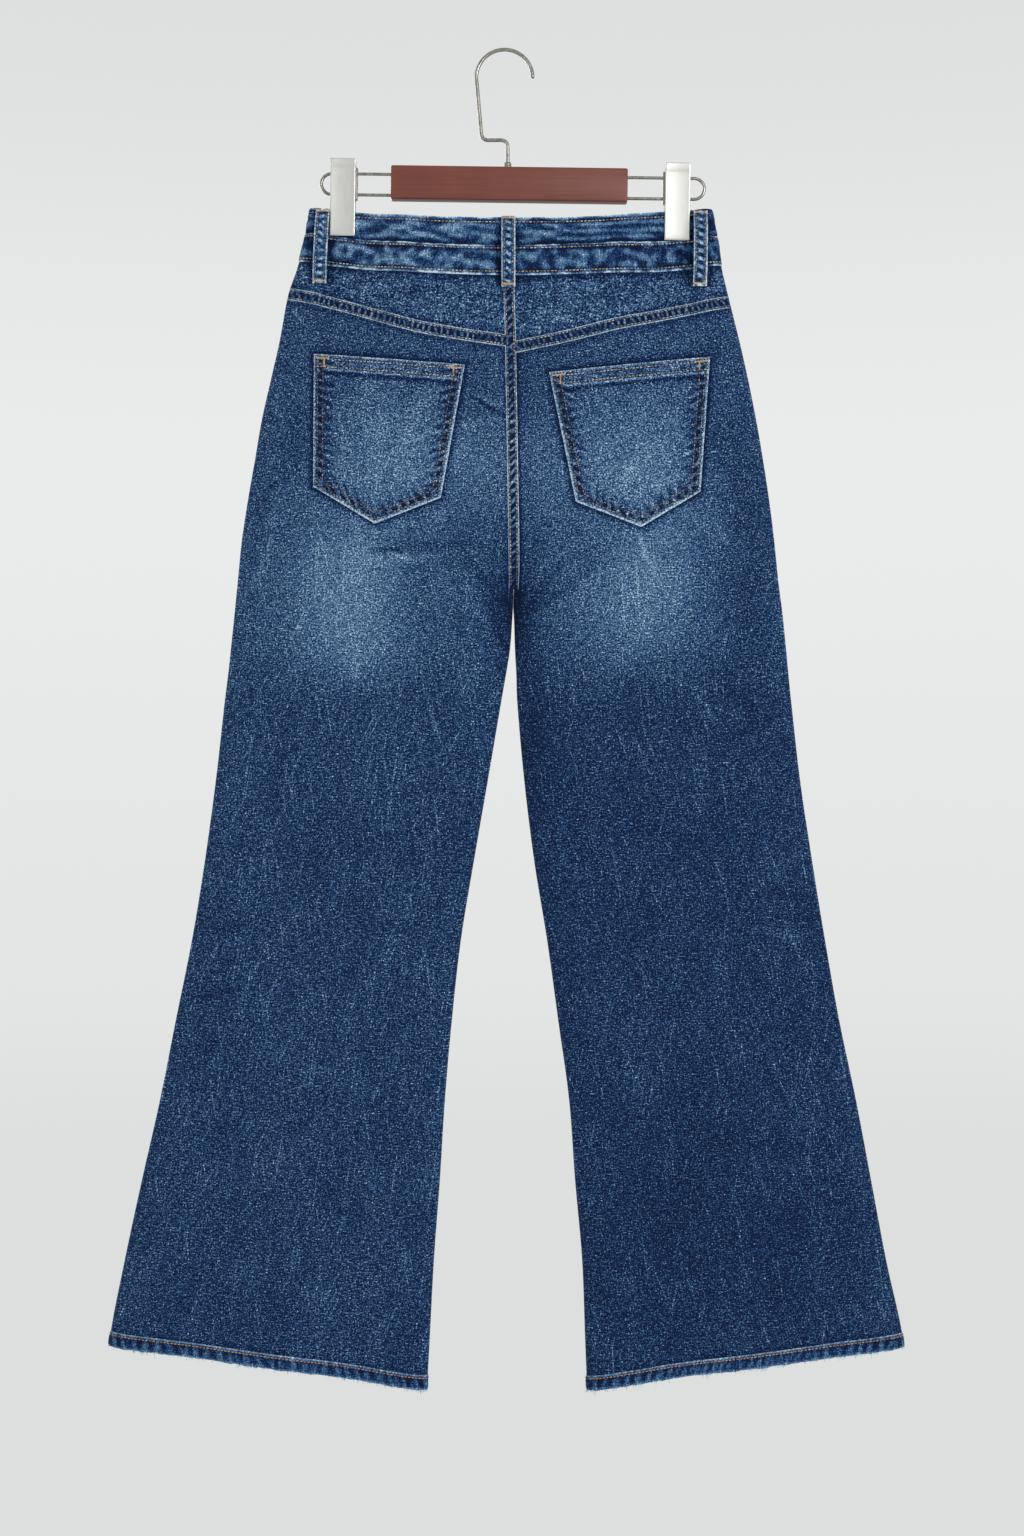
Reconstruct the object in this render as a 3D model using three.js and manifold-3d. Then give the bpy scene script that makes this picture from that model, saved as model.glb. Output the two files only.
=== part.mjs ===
// Flared jeans that hang by two clips from a short wooden hanger, in millimetres, +Z up.
// The origin is the inner top of the hook. The back of the jeans faces -Y.
// "Left" is the wearer's left, which is -X.
import * as THREE from 'three';
import { mergeVertices } from 'three/addons/utils/BufferGeometryUtils.js';
import Module from 'manifold-3d';

const wasm = await Module();
wasm.setup();
const { clamp, lerp, smoothstep } = THREE.MathUtils;

// Cloth thicknesses, and the gap that sewn pieces keep at a seam
const SEAM_GAP = 0.3;
const CURVED_SEAM_GAP = 0.6;
const CLOTH = 1.5;
const UPPER_BAND = 2.6;
const LOWER_BAND = 3.2;
const HEM_CLOTH = 3;
const LOOP_CLOTH = 1.6;

// Levels of the hanging garment: the outline's outer edges, the inner edges of the legs
// (the centre seam above the crotch) and half the depth from front to back
const LEVELS = [
  { z: -138, leftOut: -171.2, leftIn: 3.5, rightIn: 3.5, rightOut: 182.4, depth: 15 },
  { z: -165, leftOut: -175.6, leftIn: 3.5, rightIn: 3.5, rightOut: 187.2, depth: 17 },
  { z: -190, leftOut: -182, leftIn: 3.7, rightIn: 3.7, rightOut: 190.9, depth: 19 },
  { z: -215, leftOut: -190.3, leftIn: 4, rightIn: 4, rightOut: 196.7, depth: 21 },
  { z: -254, leftOut: -197.6, leftIn: 5.2, rightIn: 5.2, rightOut: 206.4, depth: 22.5 },
  { z: -289, leftOut: -205.5, leftIn: 5.8, rightIn: 5.8, rightOut: 214.3, depth: 23.5 },
  { z: -324, leftOut: -213.4, leftIn: 6.4, rightIn: 6.4, rightOut: 221.3, depth: 24 },
  { z: -360, leftOut: -219.6, leftIn: 7, rightIn: 7, rightOut: 227.5, depth: 24 },
  { z: -395, leftOut: -225.7, leftIn: 7.6, rightIn: 7.6, rightOut: 232.8, depth: 23.5 },
  { z: -430, leftOut: -231, leftIn: 8.2, rightIn: 8.2, rightOut: 237.2, depth: 22.5 },
  { z: -465, leftOut: -234.5, leftIn: 8.4, rightIn: 8.4, rightOut: 240.7, depth: 21.3 },
  { z: -488, leftOut: -236.8, leftIn: 7.6, rightIn: 7.6, rightOut: 243.7, depth: 20.4 },
  { z: -500, leftOut: -238, leftIn: 6.9, rightIn: 8.3, rightOut: 245.1, depth: 20 },
  { z: -526, leftOut: -240.7, leftIn: 4.9, rightIn: 9.1, rightOut: 247.7, depth: 19.1 },
  { z: -548, leftOut: -243.1, leftIn: 1.4, rightIn: 10.3, rightOut: 249.8, depth: 18.4 },
  { z: -571, leftOut: -246, leftIn: -2.6, rightIn: 11, rightOut: 252.1, depth: 17.6 },
  { z: -641, leftOut: -253.9, leftIn: -14.5, rightIn: 17.2, rightOut: 260, depth: 15.8 },
  { z: -712, leftOut: -263.6, leftIn: -26.8, rightIn: 26, rightOut: 270.6, depth: 14.8 },
  { z: -782, leftOut: -275, leftIn: -38.3, rightIn: 37.4, rightOut: 282, depth: 14.4 },
  { z: -852, leftOut: -289.1, leftIn: -46.2, rightIn: 47.1, rightOut: 294.4, depth: 14.4 },
  { z: -923, leftOut: -303.2, leftIn: -52.4, rightIn: 56.8, rightOut: 309.3, depth: 15 },
  { z: -993, leftOut: -319, leftIn: -56.8, rightIn: 62, rightOut: 322.5, depth: 15.8 },
  { z: -1063, leftOut: -334, leftIn: -62, rightIn: 68.2, rightOut: 335.7, depth: 16.8 },
  { z: -1134, leftOut: -347.4, leftIn: -65.8, rightIn: 70.9, rightOut: 350.8, depth: 17.6 },
  { z: -1180, leftOut: -349, leftIn: -68.3, rightIn: 72.7, rightOut: 353, depth: 18 },
];
const CROTCH = -488;
const SEAT_TURN = -415;
const EDGE_ROUNDING = 0.7;

// Seam lines across the back: the band's top edge, the ridge between the two bands, the
// lower edge, and the yoke seam, which meets the centre back a little lower on the right
const WAIST_LINES = [
  { x: -180, top: -138.2, middle: -161.3, bottom: -185.3 },
  { x: -150, top: -140.4, middle: -164.2, bottom: -189.2 },
  { x: -74, top: -147.5, middle: -172.6, bottom: -197.6 },
  { x: 3.5, top: -149.3, middle: -175.1, bottom: -200.8 },
  { x: 84, top: -147.9, middle: -172.6, bottom: -198.4 },
  { x: 140, top: -141.6, middle: -168.2, bottom: -194.5 },
  { x: 190, top: -139.3, middle: -164, bottom: -189 },
];
const YOKE_SEAM = {
  left: [
    { x: -190, seam: -214.3 },
    { x: -149, seam: -224.1 },
    { x: -107, seam: -236.6 },
    { x: -75, seam: -245.5 },
    { x: -37.6, seam: -252.4 },
    { x: 4, seam: -258.5 },
  ],
  right: [
    { x: 4, seam: -265.1 },
    { x: 58, seam: -253.3 },
    { x: 95, seam: -243.7 },
    { x: 137, seam: -234.9 },
    { x: 198, seam: -221.3 },
  ],
};
const FRONT_DROP = 9;

// Lower edge of each leg, from the outseam (across 0) to the inseam (across 1)
const HEM_EDGE = [
  { across: 0, left: -1138, right: -1139.2 },
  { across: 0.25, left: -1145.6, right: -1147 },
  { across: 0.5, left: -1154.2, right: -1155.2 },
  { across: 0.75, left: -1164.4, right: -1165.2 },
  { across: 1, left: -1177, right: -1177.4 },
];
const HEM_HEIGHT = 13;

// Largest folds of the legs: soft ridges and troughs that run down the panel, from one
// share of its width at the top to another at the foot, with height in millimetres
const FOLDS = [
  { side: 'left', face: 'back', top: -470, foot: -1200, from: 0.34, to: 0.24, width: 0.11, height: -2.6 },
  { side: 'left', face: 'back', top: -560, foot: -1200, from: 0.55, to: 0.5, width: 0.1, height: 2.4 },
  { side: 'left', face: 'back', top: -620, foot: -1200, from: 0.72, to: 0.76, width: 0.09, height: -3 },
  { side: 'right', face: 'back', top: -500, foot: -1200, from: 0.3, to: 0.2, width: 0.1, height: -2.4 },
  { side: 'right', face: 'back', top: -540, foot: -1200, from: 0.52, to: 0.46, width: 0.11, height: 2.6 },
  { side: 'right', face: 'back', top: -640, foot: -1200, from: 0.7, to: 0.72, width: 0.09, height: -3.2 },
  { side: 'left', face: 'front', top: -420, foot: -1200, from: 0.6, to: 0.42, width: 0.1, height: -3 },
  { side: 'left', face: 'front', top: -600, foot: -1200, from: 0.4, to: 0.66, width: 0.1, height: 2.6 },
  { side: 'right', face: 'front', top: -430, foot: -1200, from: 0.62, to: 0.4, width: 0.1, height: -3.2 },
  { side: 'right', face: 'front', top: -620, foot: -1200, from: 0.38, to: 0.64, width: 0.1, height: 2.4 },
];

// The clips press the two layers of the waist flat: where, how far, and how it opens below
const CLIP_GRIPS = [
  { x: -142, flat: 12.5, outer: 11, inner: 48 },
  { x: 153, flat: 12.5, outer: 11, inner: 48 },
];
const GRIP_RISE = 1.5;
const GRIP_BOTTOM = -166;
const GRIP_FADE = -256;

// Back pockets by their corners, and the belt loops by their centre lines
const POCKETS = {
  left: {
    topOut: [-166.2, -268.8], topIn: [-34.5, -279.5],
    footIn: [-55.3, -395], tip: [-113.1, -417.5], footOut: [-166.8, -385],
  },
  right: {
    topOut: [179.4, -271.3], topIn: [38.9, -286.1],
    footIn: [62.2, -398.6], tip: [119.3, -420.4], footOut: [170.9, -389.3],
  },
};
const POCKET_GAP = 0.45;
const LOOPS = [
  { name: 'back_left', face: 'back', topX: -159.2, footX: -161.9, top: -140.4, foot: -206.5 },
  { name: 'back_centre', face: 'back', topX: 3.5, footX: 3.5, top: -148.9, foot: -211 },
  { name: 'back_right', face: 'back', topX: 171.9, footX: 171, top: -141.9, foot: -208.9 },
  { name: 'front_left', face: 'front', topX: -92, footX: -93, top: -149, foot: -217 },
  { name: 'front_right', face: 'front', topX: 100, footX: 101, top: -149, foot: -217 },
];
const LOOP_WIDTH = 12;
const LOOP_BOW = 6;
const LOOP_FOOT_FROM = 0.9;

// Front opening: scooped pocket mouths, fly, zip and buttons
const SCOOP = { width: 92, depth: 58, curve: 2.2, facingBelow: 16, facingGap: 0.5 };
const FLY = { width: 38, lap: 4, foot: -348, bend: 34, cloth: 1.4 };
const BAND_LAP = { outer: 14, inset: 2, under: 12, bendFrom: 62, bendTo: 26 };
const LAP_COLUMNS = [62, 50, 38, 26, 6, -BAND_LAP.under];
const ZIP = { width: 28, top: -212, foot: -336, thickness: 1.6 };
const ZIP_SLIDER = { width: 9, footWidth: 6, height: 13, thickness: 3, seatAside: -3, seatAbove: 6 };
const BUTTON = { aside: 3, sides: 20 };
// Radius and height from the back of the shank, round the rim and over the dished face
const BUTTON_PROFILE = [[0, 0], [3.2, 0], [3.2, 1], [7.9, 1], [8.5, 1.8], [7.6, 3.4], [5.9, 2.6], [0, 3]];

// Hanger, from the middle of the bar, which tilts a little down to the right
const BAR = { x: 4.2, z: -117.4, length: 208, height: 29.6, depth: 14, corner: 2.5, tilt: 0.0135 };
const WIRE_RADIUS = 1.4;
const BORE_CLEARANCE = 0.3;
const BORE_SIDES = 12;
const SHANK_BORE_LENGTH = 30;
const SLIDER_BORE_LENGTH = 60;
const WIRES = { upper: 7.85, lower: -10.55, seat: 12, leftEnd: -165.3, rightEnd: 171.7, bendSteps: 12 };
const CLIP = { width: 22.2, top: 20.4, foot: -47.4, sheet: 1.2, inside: 3.45, splay: 1.6, splayFrom: 12 };
const CLIP_PLACES = [
  { name: 'left', x: -146.2, inward: 1 },
  { name: 'right', x: 148, inward: -1 },
];
const SLIDER = { width: 17, tab: 1.8, top: 12.9, foot: -15.6, halfDepth: 3.05 };
const HOOK = {
  radius: 24.8, wire: 1.65, tipAngle: -0.03, heelAngle: 3.34, arcSteps: 20, sides: 8, steps: 56,
};
const HOOK_SHANK = [
  { x: -20.3, z: -73.5 },
  { x: -19.2, z: -78.1 },
  { x: -14, z: -78.1 },
  { x: -3.5, z: -78 },
  { x: 2.4, z: -78 },
  { x: 2.8, z: -84 },
  { x: 2.8, z: -112 },
];
const FERRULE = { radius: 3.3, height: 5, shoulder: 2, lip: 0.6, taper: 0.7, sides: 16 };

const SIGN = { left: -1, right: 1, back: -1, front: 1 };

const MATERIALS = {
  denim: new THREE.MeshStandardMaterial({ color: 0x2c4766, roughness: 0.95, metalness: 0 }),
  denimLight: new THREE.MeshStandardMaterial({ color: 0x43607f, roughness: 0.95, metalness: 0 }),
  zipTape: new THREE.MeshStandardMaterial({ color: 0x1d2c42, roughness: 0.8, metalness: 0 }),
  brass: new THREE.MeshStandardMaterial({ color: 0xa98a55, roughness: 0.4, metalness: 1 }),
  wood: new THREE.MeshStandardMaterial({ color: 0x7a4e42, roughness: 0.55, metalness: 0 }),
  steel: new THREE.MeshStandardMaterial({ color: 0xd4d5d2, roughness: 0.35, metalness: 1 }),
};

const model = new THREE.Group();

function addPiece(name, geometry, material, parent = model) {
  const mesh = new THREE.Mesh(geometry, material);
  mesh.name = name;
  parent.add(mesh);
  return mesh;
}

// Reads a column of a table at any place between its rows, on a smooth curve
function tableValue(rows, key, column, at) {
  const rising = rows[1][key] > rows[0][key];
  let i = 0;
  while (i < rows.length - 2 && (rising ? at > rows[i + 1][key] : at < rows[i + 1][key])) {
    i += 1;
  }
  const a = rows[i];
  const b = rows[i + 1];
  const before = rows[Math.max(i - 1, 0)];
  const after = rows[Math.min(i + 2, rows.length - 1)];
  const span = b[key] - a[key];
  const slopeA = (b[column] - before[column]) / (b[key] - before[key]);
  const slopeB = (after[column] - a[column]) / (after[key] - a[key]);
  const t = clamp((at - a[key]) / span, 0, 1);
  const t2 = t * t;
  const t3 = t2 * t;
  return (2 * t3 - 3 * t2 + 1) * a[column] + (t3 - 2 * t2 + t) * span * slopeA
    + (3 * t2 - 2 * t3) * b[column] + (t3 - t2) * span * slopeB;
}

// How far the layers are pressed together at (x, z): 1 in a clip, 0 away from it
function gripAt(x, z) {
  const below = 1 - smoothstep(-z, -GRIP_BOTTOM, -GRIP_FADE);
  let grip = 0;
  for (const clip of CLIP_GRIPS) {
    const away = Math.abs(x - clip.x) - clip.flat;
    const isOuter = Math.abs(x) > Math.abs(clip.x);
    grip = Math.max(grip, 1 - smoothstep(away, 0, isOuter ? clip.outer : clip.inner));
  }
  return grip * below;
}

function foldAt(side, face, s, z) {
  let height = 0;
  for (const fold of FOLDS) {
    if (fold.side !== side || fold.face !== face) {
      continue;
    }
    const down = clamp((fold.top - z) / (fold.top - fold.foot), 0, 1);
    const away = (s - lerp(fold.from, fold.to, down)) / fold.width;
    height += fold.height * smoothstep(down, 0, 0.45) * Math.exp(-away * away);
  }
  return height;
}

// The centre seam above the crotch, and the inner edge of a leg below it
function innerEdge(side, z) {
  const [left, right] = ['leftIn', 'rightIn'].map((column) => tableValue(LEVELS, 'z', column, z));
  if (z >= CROTCH) {
    return (left + right) / 2;
  }
  return side === 'left' ? left : right;
}

// A point of the cloth's middle surface: s runs from the outseam (0) to the centre seam
// or inseam (1). Above the seat's turn the section ends at full depth on the centre seam,
// and from there to the crotch it closes to the inseam.
function clothPoint(side, face, s, z) {
  const turn = smoothstep(SEAT_TURN - z, 0, SEAT_TURN - CROTCH);
  const endAngle = (Math.PI / 2) * (1 + turn);
  const outX = tableValue(LEVELS, 'z', `${side}Out`, z) - SIGN[side] * CLOTH / 2;
  const clear = SEAM_GAP / 2 + Math.sqrt(turn) * CLOTH / 2;
  const inX = innerEdge(side, z) + SIGN[side] * clear;
  const angle = Math.acos(1 - s * (1 - Math.cos(endAngle)));
  const shape = Math.max(Math.sin(angle), 0) ** EDGE_ROUNDING;
  const x = lerp(outX, inX, s);
  const free = shape * (tableValue(LEVELS, 'z', 'depth', z) + foldAt(side, face, s, z));
  const rise = Math.min(free, lerp(free, GRIP_RISE, gripAt(x, z)));
  return new THREE.Vector3(x, SIGN[face] * (SEAM_GAP / 2 + rise), z);
}

// The level outward direction of the cloth at a point
function clothNormal(side, face, s, z) {
  const turned = z <= CROTCH;
  if (s === 0 || (s === 1 && turned)) {
    return new THREE.Vector3(s === 0 ? SIGN[side] : -SIGN[side], 0, 0);
  }
  if (s === 1 && z >= SEAT_TURN) {
    return new THREE.Vector3(0, SIGN[face], 0);
  }
  const step = 0.25 * Math.min(s, 1 - s) + 1e-6;
  const along = clothPoint(side, face, Math.min(s + step, 1), z);
  along.sub(clothPoint(side, face, s - step, z));
  return new THREE.Vector3(-along.y, along.x, 0).normalize().multiplyScalar(-SIGN[side] * SIGN[face]);
}

function movedOut(side, face, s, z, out) {
  return clothPoint(side, face, s, z).addScaledVector(clothNormal(side, face, s, z), out);
}

// The share of the half width at which a level reaches x
function acrossAt(side, face, x, z) {
  const outX = clothPoint(side, face, 0, z).x;
  const inX = clothPoint(side, face, 1, z).x;
  return clamp((x - outX) / (inX - outX), 0, 1);
}

// A closed wall over a grid: at(i, j, layer) gives its outer (1) and inner (-1) points
function wallGeometry(columns, rows, at, isRing = false) {
  const points = [];
  for (const layer of [1, -1]) {
    for (let i = 0; i < columns; i += 1) {
      for (let j = 0; j < rows; j += 1) {
        points.push(at(i, j, layer));
      }
    }
  }
  const index = (i, j, layer) => (layer === 1 ? 0 : columns * rows) + (i % columns) * rows + j;
  const faces = [];
  const quad = (a, b, c, d) => faces.push(a, b, c, a, c, d);
  const lastColumn = isRing ? columns : columns - 1;
  for (let i = 0; i < lastColumn; i += 1) {
    for (let j = 0; j < rows - 1; j += 1) {
      quad(index(i, j, 1), index(i + 1, j, 1), index(i + 1, j + 1, 1), index(i, j + 1, 1));
      quad(index(i, j, -1), index(i, j + 1, -1), index(i + 1, j + 1, -1), index(i + 1, j, -1));
    }
    quad(index(i, 0, -1), index(i + 1, 0, -1), index(i + 1, 0, 1), index(i, 0, 1));
    const foot = rows - 1;
    quad(index(i, foot, 1), index(i + 1, foot, 1), index(i + 1, foot, -1), index(i, foot, -1));
  }
  if (!isRing) {
    for (let j = 0; j < rows - 1; j += 1) {
      const end = columns - 1;
      quad(index(0, j, 1), index(0, j + 1, 1), index(0, j + 1, -1), index(0, j, -1));
      quad(index(end, j, 1), index(end, j, -1), index(end, j + 1, -1), index(end, j + 1, 1));
    }
  }
  return facingOut(points, faces);
}

// Turns the triangles over where they enclose a negative volume
function facingOut(points, faces) {
  let volume = 0;
  for (let k = 0; k < faces.length; k += 3) {
    const [a, b, c] = [points[faces[k]], points[faces[k + 1]], points[faces[k + 2]]];
    volume += a.dot(b.clone().cross(c));
  }
  if (volume < 0) {
    faces.reverse();
  }
  const geometry = new THREE.BufferGeometry();
  geometry.setAttribute('position', new THREE.Float32BufferAttribute(points.flatMap((p) => p.toArray()), 3));
  geometry.setIndex(faces);
  return geometry;
}

// Seam heights. The front's waist lines dip a little more at the centre than the back's.
function waistLine(line, face, x) {
  const height = tableValue(WAIST_LINES, 'x', line, x);
  if (face === 'back') {
    return height;
  }
  const away = (x - LEVELS[0].leftIn) / LEVELS[0].rightOut;
  return height - FRONT_DROP * Math.max(1 - away * away, 0) ** 2;
}

function scoopLine(side, x) {
  const outX = tableValue(LEVELS, 'z', `${side}Out`, WAIST_LINES[0].bottom);
  const inward = Math.abs(x - outX) / SCOOP.width;
  return waistLine('bottom', 'front', x) - SCOOP.depth * Math.max(1 - inward ** SCOOP.curve, 0);
}

function hemLine(side, s) {
  return tableValue(HEM_EDGE, 'across', side, s);
}

// The height at which a column of the cloth meets a line given by its x
const MEET_START = -220;
const MEET_PASSES = 6;
function meetLine(side, face, s, line) {
  let z = MEET_START;
  for (let pass = 0; pass < MEET_PASSES; pass += 1) {
    z = line(clothPoint(side, face, s, z).x);
  }
  return z;
}

// Legs: each back and front panel runs from its top seam to the hem
const LEG_COLUMNS = [
  0, 0.001, 0.006, 0.03, 0.09, 0.18, 0.3, 0.43, 0.56, 0.69, 0.82, 0.92, 0.975, 0.995, 0.999, 1,
];
const LEG_LEVELS = [-268, -285, -330, -375, SEAT_TURN, -440, -460, -474, -483, CROTCH,
  -497, -511, -526, -548, -590, -650, -720, -790, -860, -930, -1000, -1060, -1105];

function legPanel(side, face, topLine, topRows) {
  const columns = LEG_COLUMNS.map((s) => {
    const top = meetLine(side, face, s, topLine) - CURVED_SEAM_GAP / 2;
    const foot = hemLine(side, s) + HEM_HEIGHT + SEAM_GAP / 2;
    const upper = [...Array(topRows).keys()].map((row) => lerp(top, LEG_LEVELS[0], row / topRows));
    return [...upper, ...LEG_LEVELS, foot].map((z) => ({ s, z }));
  });
  return wallGeometry(columns.length, topRows + LEG_LEVELS.length + 1, (i, j, layer) => {
    const { s, z } = columns[i][j];
    return movedOut(side, face, s, z, layer * CLOTH / 2);
  });
}

for (const side of ['left', 'right']) {
  const yokeSeam = (x) => tableValue(YOKE_SEAM[side], 'x', 'seam', x);
  const frontTop = (x) => Math.min(waistLine('bottom', 'front', x), scoopLine(side, x));
  addPiece(`back_panel_${side}`, legPanel(side, 'back', yokeSeam, 2), MATERIALS.denim);
  addPiece(`front_panel_${side}`, legPanel(side, 'front', frontTop, 4), MATERIALS.denim);
}

// Patches between two lines: yokes, and the facings inside the front pocket mouths
function patch(side, face, acrosses, topLine, footLine, rows, out, thickness) {
  const halfGap = CURVED_SEAM_GAP / 2;
  const ends = acrosses.map((s) => ({
    top: meetLine(side, face, s, topLine) - halfGap,
    foot: meetLine(side, face, s, footLine) + halfGap,
  }));
  return wallGeometry(acrosses.length, rows, (i, j, layer) => {
    const z = lerp(ends[i].top, ends[i].foot, j / (rows - 1));
    return movedOut(side, face, acrosses[i], z, out + layer * thickness / 2);
  });
}

const YOKE_COLUMNS = [0, 0.002, 0.012, 0.04, 0.09, 0.15, 0.22, 0.32, 0.44, 0.58, 0.72, 0.86, 1];
const FACING_COLUMNS = LEG_COLUMNS.slice(0, 9);
for (const side of ['left', 'right']) {
  const bandFoot = (x) => waistLine('bottom', 'back', x);
  const yokeSeam = (x) => tableValue(YOKE_SEAM[side], 'x', 'seam', x);
  addPiece(`yoke_${side}`, patch(side, 'back', YOKE_COLUMNS, bandFoot, yokeSeam, 4, 0, CLOTH),
    MATERIALS.denim);
  const frontFoot = (x) => waistLine('bottom', 'front', x);
  const facingFoot = (x) => scoopLine(side, x) - SCOOP.facingBelow;
  const inside = -(CLOTH + SCOOP.facingGap);
  addPiece(`front_pocket_facing_${side}`,
    patch(side, 'front', FACING_COLUMNS, frontFoot, facingFoot, 5, inside, CLOTH), MATERIALS.denim);
}

// Waistbands: each is one strip that starts at the lapped end on the wearer's left front,
// runs round the left side, the back and the right side, and ends under the lap
const BAND_COLUMNS = [0.001, 0.006, 0.02, 0.045, 0.075, 0.105, 0.14, 0.19, 0.24, 0.31, 0.4, 0.52, 0.66, 0.82];
const CENTRE = LEVELS[0].leftIn;

function bandStops(thickness) {
  const turnedIn = (x) => (thickness + SEAM_GAP)
    * smoothstep(CENTRE + BAND_LAP.bendFrom - x, 0, BAND_LAP.bendFrom - BAND_LAP.bendTo);
  const stops = [BAND_LAP.outer, BAND_LAP.inset].map((away) => ({ x: CENTRE + away, face: 'front' }));
  const half = (side, face, columns) => columns.map((s) => ({ side, face, s }));
  const inward = [...BAND_COLUMNS].reverse();
  stops.push(...half('left', 'front', inward));
  stops.push({ side: 'left', face: 'back', s: 0 });
  stops.push(...half('left', 'back', BAND_COLUMNS));
  stops.push({ side: 'left', face: 'back', s: 1 });
  stops.push(...half('right', 'back', inward));
  stops.push({ side: 'right', face: 'back', s: 0 });
  stops.push(...half('right', 'front', BAND_COLUMNS.slice(0, -2)));
  for (const away of LAP_COLUMNS) {
    stops.push({ x: CENTRE + away, face: 'front', turnedIn: turnedIn(CENTRE + away) });
  }
  return stops;
}

function bandGeometry(topLine, footLine, thickness) {
  const stops = bandStops(thickness);
  const halfGap = CURVED_SEAM_GAP / 2;
  return wallGeometry(stops.length, 3, (i, j, layer) => {
    const stop = stops[i];
    const side = stop.side ?? (stop.x < CENTRE ? 'left' : 'right');
    const guess = stop.x ?? clothPoint(side, stop.face, stop.s, WAIST_LINES[0].bottom).x;
    const top = waistLine(topLine, stop.face, guess) - (topLine === 'top' ? 0 : halfGap);
    const foot = waistLine(footLine, stop.face, guess) + halfGap;
    const z = lerp(top, foot, j / 2);
    const s = stop.s ?? acrossAt(side, stop.face, stop.x, z);
    const out = layer * thickness / 2 - (stop.turnedIn ?? 0);
    const point = movedOut(side, stop.face, s, z, out);
    return s === 0 ? point.setY(0) : point;
  });
}

addPiece('waistband_upper', bandGeometry('top', 'middle', UPPER_BAND), MATERIALS.denimLight);
addPiece('waistband_lower', bandGeometry('middle', 'bottom', LOWER_BAND), MATERIALS.denimLight);

// Hems: a thick turned-up ring at the foot of each leg
const HEM_COLUMNS = LEG_COLUMNS.slice(1, -1);
for (const side of ['left', 'right']) {
  const stops = [
    { face: 'back', s: 0 },
    ...HEM_COLUMNS.map((s) => ({ face: 'back', s })),
    { face: 'back', s: 1 },
    ...[...HEM_COLUMNS].reverse().map((s) => ({ face: 'front', s })),
  ];
  const geometry = wallGeometry(stops.length, 2, (i, j, layer) => {
    const { face, s } = stops[i];
    const foot = hemLine(side, s);
    const z = j === 0 ? foot + HEM_HEIGHT - SEAM_GAP / 2 : foot;
    const point = movedOut(side, face, s, z, layer * HEM_CLOTH / 2);
    return s === 0 || s === 1 ? point.setY(0) : point;
  }, true);
  addPiece(`hem_${side}`, geometry, MATERIALS.denimLight);
}

// Back pockets: patches on the panels, from a slanted top edge to a blunt point
for (const side of ['left', 'right']) {
  const pocket = POCKETS[side];
  const columns = 11;
  const rows = 8;
  const tipAt = (pocket.tip[0] - pocket.footOut[0]) / (pocket.footIn[0] - pocket.footOut[0]);
  const mix = (a, b, t) => [lerp(a[0], b[0], t), lerp(a[1], b[1], t)];
  const shares = [...Array(columns).keys()].map((i) => {
    const t = i / (columns - 1);
    return t < 0.5 ? 2 * t * tipAt : tipAt + (2 * t - 1) * (1 - tipAt);
  });
  const geometry = wallGeometry(columns, rows, (i, j, layer) => {
    const u = shares[i];
    const top = mix(pocket.topOut, pocket.topIn, u);
    const foot = u < tipAt
      ? mix(pocket.footOut, pocket.tip, u / tipAt)
      : mix(pocket.tip, pocket.footIn, (u - tipAt) / (1 - tipAt));
    const [x, z] = mix(top, foot, j / (rows - 1));
    const out = CLOTH + POCKET_GAP + layer * CLOTH / 2;
    return movedOut(side, 'back', acrossAt(side, 'back', x, z), z, out);
  });
  addPiece(`back_pocket_${side}`, geometry, MATERIALS.denimLight);
}

// Belt loops: straight strips that touch at both ends and bow out between, for a belt
const LOOP_PROFILE = [
  { down: 0, bow: 0 },
  { down: 0.06, bow: 0 },
  { down: 0.13, bow: 0.45 },
  { down: 0.2, bow: 0.88 },
  { down: 0.28, bow: 1 },
  { down: 0.5, bow: 1 },
  { down: 0.7, bow: 1 },
  { down: 0.79, bow: 0.88 },
  { down: 0.87, bow: 0.45 },
  { down: 0.94, bow: 0 },
  { down: 1, bow: 0 },
];
for (const loop of LOOPS) {
  const highest = (x, z) => {
    const side = x < CENTRE ? 'left' : 'right';
    return Math.abs(clothPoint(side, loop.face, acrossAt(side, loop.face, x, z), z).y);
  };
  const geometry = wallGeometry(3, LOOP_PROFILE.length, (i, j, layer) => {
    const { down, bow } = LOOP_PROFILE[j];
    const z = lerp(loop.top, loop.foot, down);
    const middle = lerp(loop.topX, loop.footX, down);
    const x = middle + (i - 1) * LOOP_WIDTH / 2;
    const edges = [-1, -0.5, 0, 0.5, 1].map((t) => highest(middle + t * LOOP_WIDTH / 2, z));
    const seat = (down > LOOP_FOOT_FROM ? CLOTH / 2 : LOWER_BAND / 2) + SEAM_GAP + LOOP_CLOTH / 2;
    const out = Math.max(...edges) + seat + bow * LOOP_BOW + layer * LOOP_CLOTH / 2;
    return new THREE.Vector3(x, SIGN[loop.face] * out, z);
  });
  addPiece(`belt_loop_${loop.name}`, geometry, MATERIALS.denimLight);
}

// Front closure: the fly's lap, the zip behind it, and a button on each band
function centrePatch(fromX, toX, columns, rows, edge, out, thickness) {
  return wallGeometry(columns, rows, (i, j, layer) => {
    const x = lerp(fromX, toX, i / (columns - 1));
    const z = lerp(edge.top(x), edge.foot(x), j / (rows - 1));
    const side = x < CENTRE ? 'left' : 'right';
    return movedOut(side, 'front', acrossAt(side, 'front', x, z), z, out + layer * thickness / 2);
  });
}

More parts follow.
